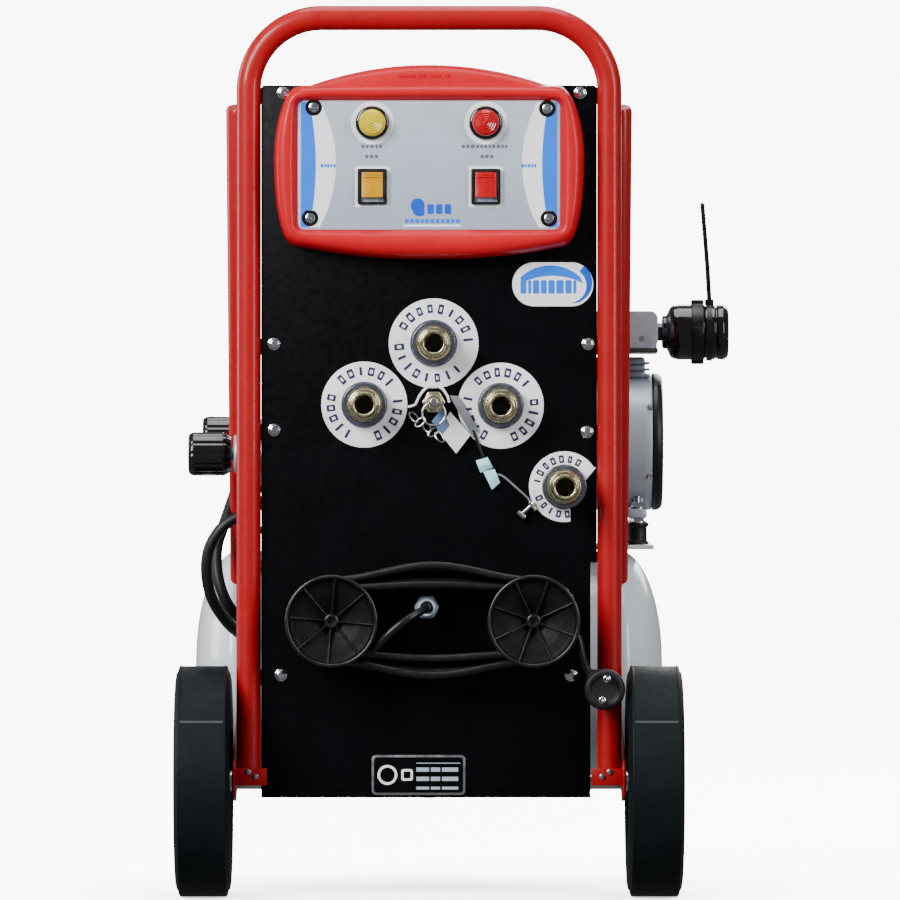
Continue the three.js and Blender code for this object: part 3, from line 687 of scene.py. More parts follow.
rivets = []
for _, sign in SIDES:
    for x, z in ((156, 109), (149.5, 105)):
        rivets.append(cross_head((sign * x, -14, z), "y", 2.6, 1.7))
piece("bracket_rivets", together(*rivets), "zinc_steel")


# ---- Wheels ----
WHEEL_X, WHEEL_Y, WHEEL_Z = 195.3, 14, 100


def mirrored(half):
    """Half a profile and its mirror image."""
    return half + [(r, -x) for r, x in reversed(half)]


def facing(profile, sign):
    """A profile turned to the left or the right."""
    return [(r, sign * along) for r, along in profile]


def spokes(centre, inner, outer, depth, count, thick):
    """Radial ribs of a wheel between two circles, each running from one depth to the other."""
    shapes = []
    for k in range(count):
        rib = block((inner, outer), (-thick / 2, thick / 2), depth, min(0.5, thick * 0.3), 1)
        spin = Matrix.Rotation(2 * math.pi * k / count, 4, "Z")
        shapes.append(moved(rib, at(*centre) @ AXES["x"].to_4x4() @ spin))
    return together(*shapes)


for side, sign in SIDES:
    centre = (sign * WHEEL_X, WHEEL_Y, WHEEL_Z)
    tyre_half = [
        (65.6, -18.6), (67, -20.4), (71, -22), (76, -23.6), (79.5, -24.2), (84, -24.3), (89, -24),
        (93.5, -23.2), (95, -22.0), (97.6, -21.4), (99.4, -20.7), (100, -19.8), (100, -19.0), (99.5, -18.3),
        (99.5, -4),
    ]
    tyre = lathe(mirrored(tyre_half), "x", centre, 128)
    # The moulding bars across the tread are in a lighter rubber than the tread: a painted highlight on each
    # seam.
    mouldings = []
    for k in range(3):
        bar = block((-18.8, 18.8), (-1.3, 1.3), (98.4, 100.0), 0.35, 1)
        spin = Matrix.Rotation(math.radians(57.3 + 120 * k), 4, "X")
        mouldings.append(moved(bar, at(*centre) @ spin))
    piece(f"tyre_mouldings_{side}", together(*mouldings), "tyre_edge", f"wheel_{side}", slot="tyre")
    piece(f"tyre_tread_{side}", tyre, "tyre", f"wheel_{side}", f"tyre_{side}")

    rim_half = [
        (6.6, -20), (10, -20.2), (16.4, -20), (17.4, -18.6), (19, -8), (20.5, -7), (52, -7), (54, -8),
        (56.4, -17), (57.6, -18.4), (63.6, -18.4), (65.2, -17.2), (65.2, -6),
    ]
    rim = turned(mirrored(rim_half), 0.6, "x", centre, 96, arcs=2)
    ribs = [spokes(centre, 17, 55.6, depth, 8, 3.2) for depth in ((-14.5, -6.5), (6.5, 14.5))]
    piece(f"rim_wheel_{side}", together(rim, *ribs), "wheel_plastic", f"wheel_{side}", f"rim_{side}")

    cap = facing([(0, 0), (0, 5.5), (3.6, 5.2), (6.6, 3.6), (7.6, 1.6), (10.5, 1.3), (10.5, 0)], sign)
    cap = lathe(cap, "x", (sign * 214.4, WHEEL_Y, WHEEL_Z), 40)
    bush = [(6.2, 0), (9, 0), (9, 3.6), (6.2, 3.6)]
    bush = turned(bush, 0.4, "x", (sign * 172.2 - 1.8, WHEEL_Y, WHEEL_Z), 40)
    piece(f"axle_cap_{side}", together(cap, bush), "chrome")

shaft = turned([(0, -217.3), (6, -217.3), (6, 217.3), (0, 217.3)], 1, "x", (0, WHEEL_Y, WHEEL_Z), 40)
piece("axle_rod", shaft, "zinc_steel", stands_for="axle")


# ---- Tank ----
TANK_Y, TANK_Z, TANK_R, TANK_HALF, TANK_DOME = 218, 192, 103.8, 207, 36
dome = []
for k in range(25):
    angle = math.pi / 2 * k / 24
    lift = math.sin(angle) ** 0.86
    dome.append((TANK_R * lift, TANK_HALF - TANK_DOME * (1 - math.cos(angle) ** 1.15)))
joint = TANK_HALF - TANK_DOME
joint_step = [
    (TANK_R, joint - 4), (TANK_R + 0.7, joint - 6), (TANK_R + 0.7, joint - 10), (TANK_R, joint - 12),
]
tank = lathe(mirrored(dome + joint_step), "x", (0, TANK_Y, TANK_Z), 144)
weld_y, weld_z = TANK_Y + 40, TANK_Z - 95.8
welds = [seam((-joint + 12, weld_y, weld_z), (joint - 12, weld_y, weld_z), 1.8)]
welds.append(turned([(0, 93.6), (12, 93.6), (12, 112), (0, 112)], 1, "z", (0, 158, 0), 40))
boss_side = turned([(0, 0), (15, 0), (15, 7), (0, 7)], 1, "y", (150, TANK_Y + TANK_R - 7.5, TANK_Z), 48)
piece("tank_shell", together(tank, *welds, boss_side), "tank_grey", stands_for="tank")
tank_plug = hex_head((150, TANK_Y + TANK_R - 1, TANK_Z), "y", 17, 1.4)
piece("tank_port_plug", tank_plug, "zinc_steel")


def on_tank(sides, low, high, rise):
    """A thin curved plate on the back of the tank, between two heights."""
    start, end = (math.acos((TANK_Z - z) / TANK_R) for z in (low, high))
    inner, outer = TANK_R - 0.4, TANK_R + rise
    section = [(inner, sides[0]), (outer, sides[0]), (outer, sides[1]), (inner, sides[1])]
    return lathe(section, "x", (0, TANK_Y, TANK_Z), max(2, round((high - low) / 3)), start, end - start)


piece("tank_data_plate", on_tank((-52, 18), 150, 196, 0.5), "zinc_steel")
DATA_ROWS = ((186, 13), (179, -4), (172, 10), (165, 2), (158, 8))
rows = [on_tank((-47, right), z, z + 1.6, 0.7) for z, right in DATA_ROWS]
piece("tank_data_rows", together(*rows), "grey_print")

cock = [(0, 79), (4.4, 79), (5, 80), (5.6, 85), (8, 88), (8, 97.5), (4, 97.5), (4, 112.5), (0, 112.5)]
cock_shape = turned(cock, 0.5, "z", (0, 158, 0), 40)
wing = moved(slab(rounded_box((-12, 12), (80, 88), 3.6), (-2, 2), bevel=0.8), at(0, 158, 0))
piece("drain_tap", together(cock_shape, wing), "brass", "drain_cock", "drain_cock")


# ---- Panel ----
PANEL_HALF, PANEL_NOTCH, NOTCH_TOP, PANEL_TOP = 145.15, 139.6, 290, 702
bend = [
    (20, 86), (20, 88), (3.2, 88), (2, 88.4), (1.2, 89.4), (1, 92), (-1, 92), (-1, 89), (-0.6, 87.6),
    (0.4, 86.5), (2, 86),
]
outline = [
    (-PANEL_HALF, 91), (PANEL_NOTCH, 91), (PANEL_NOTCH, NOTCH_TOP), (PANEL_HALF, NOTCH_TOP),
    (PANEL_HALF, PANEL_TOP - 2), (PANEL_HALF - 2, PANEL_TOP), (-PANEL_HALF + 2, PANEL_TOP),
    (-PANEL_HALF, PANEL_TOP - 2),
]
sheet = slab(outline, (-1, 1), bevel=0.35)
sheet = together(sheet, prism(bend, (-PANEL_HALF, PANEL_NOTCH), 0.2))
piece("panel_sheet", sheet, "panel_black", stands_for="front_panel", sharp=28)

PANEL_SCREWS = (
    (-126, 695.6), (130.6, 695.6), (-134, 478.4), (137.5, 478.4), (-134, 404), (136.7, 402.3), (-128, 192),
    (122.8, 192),
)
screws = []
for x, z in PANEL_SCREWS:
    screws.append(cross_head((x, -1.5, z), "y", 4.4, 3.1))
    screws.append(lathe([(0, -0.9), (5.3, -0.9), (5.3, -1.5), (4.4, -1.9), (0, -1.9)], "y", (x, 0, z), 40))
piece("panel_screws", together(*screws), "chrome")


# ---- Control bezel: a pillow-edged plastic frame with a raised crown behind its top edge ----
def bezier(points, steps=16):
    """A cubic curve through its first point towards its last, which is left out."""
    a, b, c, d = (Vector(p) for p in points)
    curve = []
    for k in range(steps):
        t = k / steps
        curve.append((1 - t) ** 3 * a + 3 * (1 - t) ** 2 * t * b + 3 * (1 - t) * t * t * c + t**3 * d)
    return curve


def ray_reach(outline, centre, angle):
    """How far an outline is from its centre in one direction."""
    ahead = Vector((math.cos(angle), math.sin(angle)))
    reach = 0
    for a, b in zip(outline, outline[1:] + outline[:1]):
        a, b = Vector(a) - centre, Vector(b) - centre
        side_a, side_b = ahead.cross(a), ahead.cross(b)
        if side_a * side_b <= 0 and side_a != side_b:
            reach = max(reach, a.lerp(b, side_a / (side_a - side_b)).dot(ahead))
    return reach


def frame_ring(outer, inner, section, middle, count=280):
    """A frame between two outlines. The section is (part of the way from inner to outer, Y) pairs."""
    shape = bmesh.new()
    middle = Vector(middle)
    angles = sorted(
        [2 * math.pi * k / count for k in range(count)]
        + [math.atan2(p[1] - middle.y, p[0] - middle.x) % (2 * math.pi) for p in inner]
    )
    angles = [a for a, b in zip(angles, angles[1:] + [10]) if b - a > 1e-4]
    rings = []
    for angle in angles:
        near, far = ray_reach(inner, middle, angle), ray_reach(outer, middle, angle)
        line = []
        for part, y in section:
            reach = near + (far - near) * part
            spot = (middle.x + reach * math.cos(angle), y, middle.y + reach * math.sin(angle))
            line.append(shape.verts.new(spot))
        rings.append(line)
    count = len(section)
    for a, b in zip(rings, rings[1:] + rings[:1]):
        for k in range(count):
            shape.faces.new([a[k], a[(k + 1) % count], b[(k + 1) % count], b[k]])
    return shape


BEZEL_MIDDLE = (0, 632.5)
half_outline = (
    bezier([(0, 702.6), (50, 702.6), (90, 702), (112, 701.4)])
    + bezier([(112, 701.4), (127, 700), (134, 662), (134, 640)])
    + bezier([(134, 640), (134, 610), (131, 568), (117, 563)])
    + bezier([(117, 563), (70, 553.4), (40, 551.8), (0, 551.8)])
)
frame_outer = [tuple(p) for p in half_outline] + [(-p.x, p.y) for p in reversed(half_outline[1:])]
frame_inner = rounded_box((-113.2, 113.2), (576.8, 688.4), 6)
bezel_section = [
    (0.0, -17), (0.0, -19.6), (0.05, -20.6), (0.22, -24.2), (0.30, -25.3), (0.40, -25.9), (0.52, -26),
    (0.62, -25.7), (0.72, -24.8), (0.82, -23), (0.90, -20.4), (0.96, -16.6), (0.99, -12), (1.0, -7),
    (1.0, -1.5), (0.05, -1.5), (0.03, -10),
]
bezel = frame_ring(frame_outer, frame_inner, bezel_section, BEZEL_MIDDLE)
crown_arc = bezier([(-116, 697), (-104, 701), (-62, 719.6), (0, 719.6)], 30)
crown_line = crown_arc + [Vector((0, 719.6))] + [Vector((-p.x, p.y)) for p in reversed(crown_arc)]
CROWN_PILLOW = ((0, -8), (0.05, -12.5), (0.16, -16.4), (0.34, -18.6), (0.62, -19.6))  # (part of the drop, Y)
crown = bmesh.new()
crown_rings = []
for p in crown_line:
    drop = max(p.y - 690, 1)
    line = [(p.y, -1.5), *((p.y - drop * part, y) for part, y in CROWN_PILLOW), (686, -19.8), (686, -1.5)]
    crown_rings.append([crown.verts.new((p.x, y, z)) for z, y in line])
for a, b in zip(crown_rings, crown_rings[1:]):
    for k in range(len(a)):
        crown.faces.new([a[k], a[(k + 1) % len(a)], b[(k + 1) % len(a)], b[k]])
crown.faces.new(crown_rings[0])
crown.faces.new(crown_rings[-1])
piece("bezel_frame", together(bezel, crown), "bezel_red", stands_for="control_bezel", sharp=50)
marks = []
for x, width in ((-26, 14), (-9, 6), (0, 10), (13, 5)):
    marks.append(slab(rounded_box((x, x + width), (708.5, 711.5), 1.2, 3), (-19.2, -18.2), bevel=0.3))
piece("crown_marks", together(*marks), "bezel_red")


# ---- Face plate and its printing ----
FACE_HALF, FACE_LOW, FACE_HIGH, FACE_FRONT = 113.2, 576.9, 688.3, -20
CONTROL_X, LAMP_Z, ROCKER_Z = 49, 669, 614  # a lamp and a rocker at each side of the middle
INK = 0.12
face = slab(rounded_box((-FACE_HALF, FACE_HALF), (FACE_LOW, FACE_HIGH), 6), (FACE_FRONT, -17.5), bevel=0.3)
piece("face_sheet", face, "face_grey", stands_for="control_plate")


def printed(name, outline, material, y=FACE_FRONT, holes=(), lift=INK):
    """A printed shape, standing a little in front of its sheet."""
    return piece(name, slab(outline, (y - lift, y + 0.3), holes, bevel=0), material)


def arc_points(start, middle, end, steps=24):
    """The circle's arc through three points."""
    (ax, ay), (bx, by), (cx, cy) = start, middle, end
    d = 2 * (ax * (by - cy) + bx * (cy - ay) + cx * (ay - by))
    aa, bb, cc = ax * ax + ay * ay, bx * bx + by * by, cx * cx + cy * cy
    ux = (aa * (by - cy) + bb * (cy - ay) + cc * (ay - by)) / d
    uy = (aa * (cx - bx) + bb * (ax - cx) + cc * (bx - ax)) / d
    radius = math.hypot(ax - ux, ay - uy)
    first, mid, last = (math.atan2(y - uy, x - ux) for x, y in (start, middle, end))
    ccw = (mid - first) % (2 * math.pi) < (last - first) % (2 * math.pi)
    sweep = (last - first) % (2 * math.pi) if ccw else -((first - last) % (2 * math.pi))
    return arc(ux, uy, radius, [first + sweep * k / steps for k in range(steps + 1)])


def bars(name, material, rows, y=FACE_FRONT, lift=INK * 2):
    """Short printed dashes, in rows of (left, bottom, height, widths, gap)."""
    shapes = []
    for left, bottom, height, widths, gap in rows:
        x = left
        for width in widths:
            dash = rounded_box((x, x + width), (bottom, bottom + height), min(width, height) * 0.3, 2)
            shapes.append(slab(dash, (y - lift, y + 0.2), bevel=0))
            x += width + gap
    return piece(name, together(*shapes), material)


for side, sign in SIDES:
    flip = lambda points: [(-sign * x, z) for x, z in points]
    outer = arc_points((-93.5, 686.8), (-80.4, 632), (-94.5, 579))
    inner_arc = arc_points((-103, 686.8), (-97.6, 632), (-103, 579))
    printed(f"white_arc_{side}", flip(outer + inner_arc[::-1]), "white_print")
    blue = inner_arc + [(-110.6, 579), (-110.6, 686.8)]
    printed(f"blue_arc_{side}", flip(blue), "sky_print")
    at_x = -93.6 if sign < 0 else 79.6
    bars(f"arc_marks_{side}", "sky_print", [(at_x, 630.6, 3.0, (2.6, 1.6, 2.2, 1.8, 2.0), 0.7)])
    x = sign * CONTROL_X
    halo, lamp_hole = circle(x, LAMP_Z, 18.6, 48), circle(x, LAMP_Z, 13, 48)
    printed(f"lamp_halo_{side}", halo, "white_print", holes=[lamp_hole])
    border = rounded_box((x - 15, x + 15), (596.2, 631.8), 1.6)
    inside = rounded_box((x - 12.4, x + 12.4), (598.8, 629.2), 1)
    printed(f"rocker_outline_{side}", border, "white_print", holes=[inside])
bars(
    "captions", "grey_print",
    [
        (-58.5, 647.3, 3.0, (2.8, 2.4, 3.2, 2.2, 2.4), 1.2), (-55, 638.6, 3.0, (2.6, 3.2, 2.8), 1.2),
        (28, 647.3, 3.0, (3, 2.6, 3.8, 2.4, 2.2, 2.8, 2, 2.6, 3, 2.2, 2), 1.1),
        (44.5, 638.6, 3.0, (2.6, 3.2, 2.8), 1.2),
    ],
)
emblem = [rounded_box((x, x + 5.6), (590.5, 599), 1.4) for x in (-1.5, 6, 13.4)]
bowl = arc_points((-15, 595), (-9.5, 604), (-4, 598)) + arc_points((-4, 590), (-9, 588.6), (-13, 590.6))
emblem.append(bowl)
emblem = [slab(outline, (FACE_FRONT - 0.3, FACE_FRONT + 0.2), bevel=0) for outline in emblem]
piece("face_emblem", together(*emblem), "blue_print")
bars(
    "face_emblem_line", "sky_print",
    [(-21, 582.6, 3.6, (3.4, 3, 3.6, 2.8, 3.2, 3.6, 3, 3.4, 3.2, 2.8, 3.4), 1.2)],
)
printed("face_emblem_strip", rounded_box((-22.5, 27.5), (579.6, 581.2), 0.5, 2), "white_print")

FACE_SCREWS = ((-99.5, 682.4), (102, 681.4), (-102.6, 587), (103.4, 586.6))
face_screws = [cross_head((x, -20.4, z), "y", 4.8, 3.0) for x, z in FACE_SCREWS]
piece("face_screws", together(*face_screws), "chrome")
cup = [(4.6, -19.6), (7.0, -19.6), (7.2, -20.3), (6.4, -20.9), (4.9, -20.6)]
cups = [lathe(cup, "y", (x, 0, z), 40) for x, z in FACE_SCREWS]
piece("face_screw_cups", together(*cups), "black_gloss")

for name, sign, glass, slot in (
    ("power", -1, "lens_yellow", "lens_amber"), ("compressor", 1, "lens_red", "lens_red")
):
    x = sign * CONTROL_X
    collar = [
        (8.2, -19.9), (14.4, -19.9), (14.6, -22.4), (13.6, -24), (12.2, -24.6), (11.9, -23.4), (8.2, -23.2),
    ]
    piece(f"lamp_collar_{name}", turned(collar, 0.5, "y", (x, 0, LAMP_Z), 64), "black_gloss")
    dome = [(0, -2), (8, -2), (8, -20.4), (11.6, -23.3), (11.6, -28.2), (11.3, -29.6), (10.3, -31)]
    fresnel = []
    for k in range(5):
        r = 9.6 - 1.9 * k
        fresnel += [(r, -31.3 - 0.62 * k), (r - 0.95, -32.3 - 0.62 * k)]
    cover = lathe(dome + fresnel + [(0, -34.9)], "y", (x, 0, LAMP_Z), 64)
    piece(f"lamp_lens_{name}", cover, glass, stands_for=f"lamp_{name}", slot=slot)

    ring_outer = rounded_box((x - 12.7, x + 12.7), (598.6, 629.4), 1.6)
    ring_inner = rounded_box((x - 9.8, x + 9.8), (600.9, 627.1), 0.8)
    casing = slab(ring_outer, (-23.6, -17.6), [ring_inner], bevel=0.7)
    well = slab(ring_inner, (-17.8, -9), [rounded_box((x - 9.4, x + 9.4), (601.3, 626.7), 0.8)], bevel=0)
    piece(f"rocker_case_{name}", together(casing, well), "black_plastic", slot="face_grey")
    curve = [(-8.5, 11.3), (-7.6, 5.6), (-7.3, 0), (-7.6, -5.6), (-8.5, -11.3), (2, -9), (6, 0), (2, 9)]
    key = prism(curve, (-9.2, 9.2), 0.7)
    grips = [block((-6.6, 6.6), (-8.7, -7.4), (z, z + 1.1), 0.4) for z in (6.4, 8.4)]
    dot = turned([(1.5, -7.9), (2.5, -7.9), (2.5, -7.2), (1.5, -7.2)], 0.2, "y", (0, 0, -6), 32)
    key = moved(together(key, *grips, dot), at(x, -17, ROCKER_Z) @ Matrix.Rotation(math.radians(-12), 4, "X"))
    piece(f"rocker_key_{name}", key, slot, f"rocker_{name}", f"rocker_{name}", sharp=50)

# The switch housing behind the panel: a box, its lid with ribs and screws, and two cable glands below
box = block((-106, 106), (1.3, 69.6), (580, 686), 3)
lid_edge = block((-104.6, 104.6), (69, 70.6), (581.4, 684.6), 0.4)
lid = slab(rounded_box((-105.6, 105.6), (580.4, 685.6), 5, 6), (70.2, 72.6), bevel=0.9, segments=3)
ribs = [block((-88 + k * 11, -83 + k * 11), (72, 73.6), (604, 662), 0.7) for k in range(17)]
glands = []
for x in (-62, -30):
    glands.append(hex_head((x, 38, 580.4), "z", 17, -5))
    ring = [(4, 0), (7.4, 0), (7.4, -7), (6.2, -10), (4.6, -10), (4, -9)]
    glands.append(turned(ring, 0.5, "z", (x, 38, 575.6), 40))
housing = together(box, lid_edge, lid, *ribs, *glands)
piece("housing_box", housing, "black_plastic", stands_for="control_housing")
lid_screws = []
for x, z in ((-97, 589), (-97, 677), (97, 589), (97, 677)):
    to_the_back = at(x, 72.8, z) @ Matrix.Rotation(math.pi, 4, "Z")
    lid_screws.append(moved(cross_head((0, 0, 0), "y", 3.4, 2.2), to_the_back))
piece("housing_screws", together(*lid_screws), "zinc_steel")


# ---- Quick couplers, each on its round label ----
# name: place, the label's radius, its inner ring's radius, and which of the 20 marks are left out
COUPLERS = {
    "top": ((4, 479), 38.8, 20.4, (6, 7, 16)),
    "left": ((-56, 426), 37.2, 20.0, (4, 10, 11, 17)),
    "right": ((62, 425), 37.2, 20.0, (4, 10, 11, 17)),
    "low": ((117, 355), 30.6, 16.5, (3, 4, 5, 6, 7, 8, 9, 15)),
}
LABEL_Y = -1.4
LOW_CUT = (math.radians(-80), math.radians(34))  # the low label's missing sector


def label_mark(width, height):
    """A printed figure: a bar, or a hollow box where it is wide enough."""
    outline = rounded_box((-width / 2, width / 2), (-height / 2, height / 2), 0.5, 2)
    depth = (LABEL_Y - 0.25, LABEL_Y + 0.2)
    if width < 3.4:
        return slab(outline, depth, bevel=0)
    hollow = rounded_box((1.35 - width / 2, width / 2 - 1.35), (-height / 4.4, height / 4.4), 0.2, 2)
    return slab(outline, depth, [hollow], bevel=0)


for name, ((x, z), label_r, ring_r, skip) in COUPLERS.items():
    centre = (x, 0, z)
    if name == "low":
        sweep = 2 * math.pi + LOW_CUT[0] - LOW_CUT[1]
        label = arc(x, z, label_r, [LOW_CUT[1] + sweep * k / 90 for k in range(91)])
        label += [(x + 5, z - 15), (x + 18, z + 5), (x + 27.4, z + 16.5)]
        label = slab(label, (LABEL_Y, -0.9), bevel=0.1)
    else:
        label = slab(circle(x, z, label_r, 96), (LABEL_Y, -0.9), [circle(x, z, 8.5, 32)], bevel=0.1)
    piece(f"label_{name}", label, "white_print")
    inner, front, back = ring_r - 5, LABEL_Y - 0.15, LABEL_Y + 0.3
    ring_band = lathe([(inner, front), (ring_r, front), (ring_r, back), (inner, back)], "y", centre, 72)
    piece(f"label_ring_{name}", ring_band, "navy_print")

    marks = []
    size = 0.78 if name == "low" else 1
    reach = (label_r + ring_r) / 2 + 0.4
    for k in range(20):
        if k in skip:
            continue
        angle = math.radians(-18 * k + 96)
        mark = label_mark(rng.choice((2.2, 4.6, 5.4)) * size, rng.choice((7.4, 8.0, 8.6)) * size)
        spin = Matrix.Rotation(-(angle - math.pi / 2), 4, "Y")
        marks.append(moved(mark, at(x + reach * math.cos(angle), 0, z + reach * math.sin(angle)) @ spin))
    piece(f"label_marks_{name}", together(*marks), "navy_print")

    flange = [(0, 30), (9, 30), (9, -1.6), (18.6, -1.6), (19.4, -2.4), (19.4, -7.0), (18.6, -8.4), (13, -8.6)]
    neck = [(11.6, -9.0), (11.6, -43.0), (11.3, -44.6), (10.6, -46), (8.8, -46), (8, -45)]
    bore = [
        (8, -32), (7.2, -31), (7.2, -28.5), (8, -27.5), (8, -14), (4.4, -14), (4.0, -18), (2.4, -19.5),
        (0, -19.6),
    ]
    coupler = turned(flange + neck + bore, 0.5, "y", centre, 80)
    piece(f"coupler_body_{name}", coupler, "brass", stands_for=f"coupler_{name}")
    # The coupler's chrome rim takes a dark blue-grey colour: a painted reflection.
    rim = [(15.2, -8.2), (18.7, -8.2), (19.4, -9.2), (18.6, -10.2), (15.7, -10.4), (15.2, -9.8)]
    piece(f"coupler_rim_{name}", turned(rim, 0.25, "y", centre, 80), "rim_metal", slot="chrome")

    knurl = lambda angle, r: r + 0.22 * math.cos(48 * angle) if r > 14.2 else r
    sleeve = [
        (12.2, -14), (14.0, -14), (14.4, -14.6), (14.4, -18), (13.5, -18.6), (13.5, -21), (14.3, -21.6),
        (14.3, -35), (13.6, -35.8), (14.2, -36.6), (14.2, -38.4), (13.4, -40), (12.2, -40),
    ]
    shell = turned(sleeve, 0.35, "y", centre, 192, wave=knurl, arcs=2)
    piece(f"coupler_sleeve_{name}", shell, "brass", f"sleeve_{name}", f"sleeve_{name}", slot="chrome")
    # A dark disc deep in the bore: painted shade inside the coupler's hole.
    dark = lathe([(0, -20.2), (7.0, -20.2), (7.0, -19), (0, -19)], "y", centre, 40)
    piece(f"coupler_hole_shade_{name}", dark, "dark_bore")


# ---- Relief valve with its pull ring, and the lanyard and tag that hang from it ----
RELIEF_X, RELIEF_Z = 4, 428
valve = [
    (0, 20), (5, 20), (5, -1.2), (9.6, -1.2), (9.6, -7.4), (8.8, -8), (6.9, -8.2), (6.9, -20.5), (6.3, -22),
    (3.2, -22), (2.7, -21), (2.7, -12), (0, -12),
]
six = lambda angle, r: r / math.cos((angle % (math.pi / 3)) - math.pi / 6) * 0.93 if 8.5 < r < 10 else r
valve = turned(valve, 0.5, "y", (RELIEF_X, 0, RELIEF_Z), 96, wave=six, arcs=2)
piece("relief_body", valve, "brass", stands_for="relief_valve")
stem = [(0, -15), (2, -15), (2, -27.6), (3.3, -28), (3.6, -30), (3.2, -32), (0, -32.6)]
stem = turned(stem, 0.4, "y", (RELIEF_X, 0, RELIEF_Z), 40)
angles = [2 * math.pi * k / 60 for k in range(58)]
loop = [(RELIEF_X + 10 * math.sin(a), -30, RELIEF_Z - 10 + 10 * math.cos(a)) for a in angles]
piece("relief_ring", together(stem, tube(loop, 1.0, 12)), "chrome", "pull_ring", "pull_ring")


def wire(name, points, radius, material):
    """A thin bent wire or cord through a few points."""
    return piece(name, tube(smooth_path(points), radius, 14), material)


bow = [
    (-18, -3, 424), (-12, -5, 426), (-8.5, -6.5, 433), (-3, -7, 440), (4, -7, 442.5), (11, -7, 440),
    (15.5, -7, 434), (17.5, -6.5, 428),
]
wire("lanyard_wire", bow, 1.15, "white_print")
links = []
for k in range(5):
    a = k / 4
    x, z = -13 + 22 * a, 415 - 17 * a
    lean = math.radians(40 if k % 2 else 128)
    oval = []
    for j in range(24):
        t = 2 * math.pi * j / 24
        along, across = 5.2 * math.cos(t), 2.7 * math.sin(t)
        reach = along * math.cos(lean) - across * math.sin(lean)
        rise = along * math.sin(lean) + across * math.cos(lean)
        oval.append((x + reach, -4.4 - 1.6 * math.cos(t + k), z + rise))
    links.append(tube(oval, 0.8, 10))
piece("lanyard_links", together(*links), "zinc_steel")


def leaf(corners, y, bulge, steps=10):
    """A thin bent sheet on four corners in X and Z."""
    shape = bmesh.new()
    a, b, c, d = (Vector(p) for p in corners)
    layers = []
    for front in (0, 0.7):
        grid = []
        for i in range(steps + 1):
            row = []
            for j in range(steps + 1):
                u, v = i / steps, j / steps
                p = (a.lerp(b, u)).lerp(d.lerp(c, u), v)
                lift = bulge * math.sin(math.pi * v) * (0.6 + 0.4 * u)
                row.append(shape.verts.new((p.x, y - lift + front, p.y)))
            grid.append(row)
        layers.append(grid)
    for g in layers:
        for i in range(steps):
            for j in range(steps):
                shape.faces.new([g[i][j], g[i + 1][j], g[i + 1][j + 1], g[i][j + 1]])
    near, far = layers
    border = [(i, 0) for i in range(steps)] + [(steps, j) for j in range(steps)]
    border += [(steps - i, steps) for i in range(steps)] + [(0, steps - j) for j in range(steps)]
    for (i, j), (i2, j2) in zip(border, border[1:] + border[:1]):
        shape.faces.new([near[i][j], near[i2][j2], far[i2][j2], far[i][j]])
    return shape


paper = leaf([(18.2, 420), (35.8, 399.6), (23.5, 383.7), (8.4, 402.3)], -5.5, 2.6)
piece("tag_paper", paper, "white_print", sharp=60)
patch = leaf([(10.6, 422.5), (20.4, 410.8), (11.2, 400.4), (2.2, 411.4)], -6.4, 1.2)
piece("tag_patch", patch, "patch_blue", sharp=60)
strap = leaf([(17.5, 434), (25, 433.5), (43, 404), (36.5, 400)], -4.6, 1.6)
piece("lanyard_strap", strap, "smoke_plastic", sharp=60)
wire("lanyard_cord", [(38, -4, 404), (41, -3.4, 396), (44, -3.2, 388), (47, -3.2, 380)], 1.3, "black_rubber")
sleeve_top = leaf([(40.4, 377.5), (50.5, 380.6), (55.4, 371.5), (44.4, 367)], -4.8, 2.6)
sleeve_low = leaf([(46.6, 368.4), (56.6, 370.4), (61.4, 358.6), (54.4, 352.4)], -4.2, 2.0)
piece("lanyard_sleeve", together(sleeve_top, sleeve_low), "pale_tape", sharp=60)
lanyard_tail = [(57, -3.4, 366), (64, -3, 364), (74, -3, 355.5), (84.5, -3.2, 346), (88, -3.4, 341)]
wire("lanyard_tail", lanyard_tail, 0.9, "smoke_plastic")
tee = [
    tube([(79.5, -4.4, 331), (84, -4.4, 335), (91, -4.4, 341.5)], [2.0, 1.6, 1.6], 18),
    tube([(86.4, -4.4, 341.6), (92.6, -4.4, 334.6)], 1.8, 18),
    tube([(76.6, -4.4, 333.4), (82.8, -4.4, 328.2)], 2.5, 18),
]
piece("lanyard_tee", together(*tee), "chrome")


# ---- Cord hooks and cable gland ----
def dish_ribs(centre, inner, outer, base, ridge, widths, start, count=8):
    """Ridged ribs from a hub to a rim, each wider and higher towards the rim, round an axis along Y."""
    shape = bmesh.new()
    for k in range(count):
        angle = start + 2 * math.pi * k / count
        ahead = Vector((math.cos(angle), 0, -math.sin(angle)))
        across = Vector((math.sin(angle), 0, math.cos(angle)))
        ends = []
        for reach, crest, width in ((inner, ridge[0], widths[0]), (outer, ridge[1], widths[1])):
            foot = Vector(centre) + ahead * reach
            shoulder = crest + 0.4
            spots = ((-0.5, base), (-0.12, shoulder), (0, crest), (0.12, shoulder), (0.5, base))
            places = [foot + across * width * part + Vector((0, y, 0)) for part, y in spots]
            ends.append([shape.verts.new(place) for place in places])
        near, far = ends
        for j in range(5):
            shape.faces.new([near[j], near[(j + 1) % 5], far[(j + 1) % 5], far[j]])
        shape.faces.new(near)
        shape.faces.new(far)
    return shape


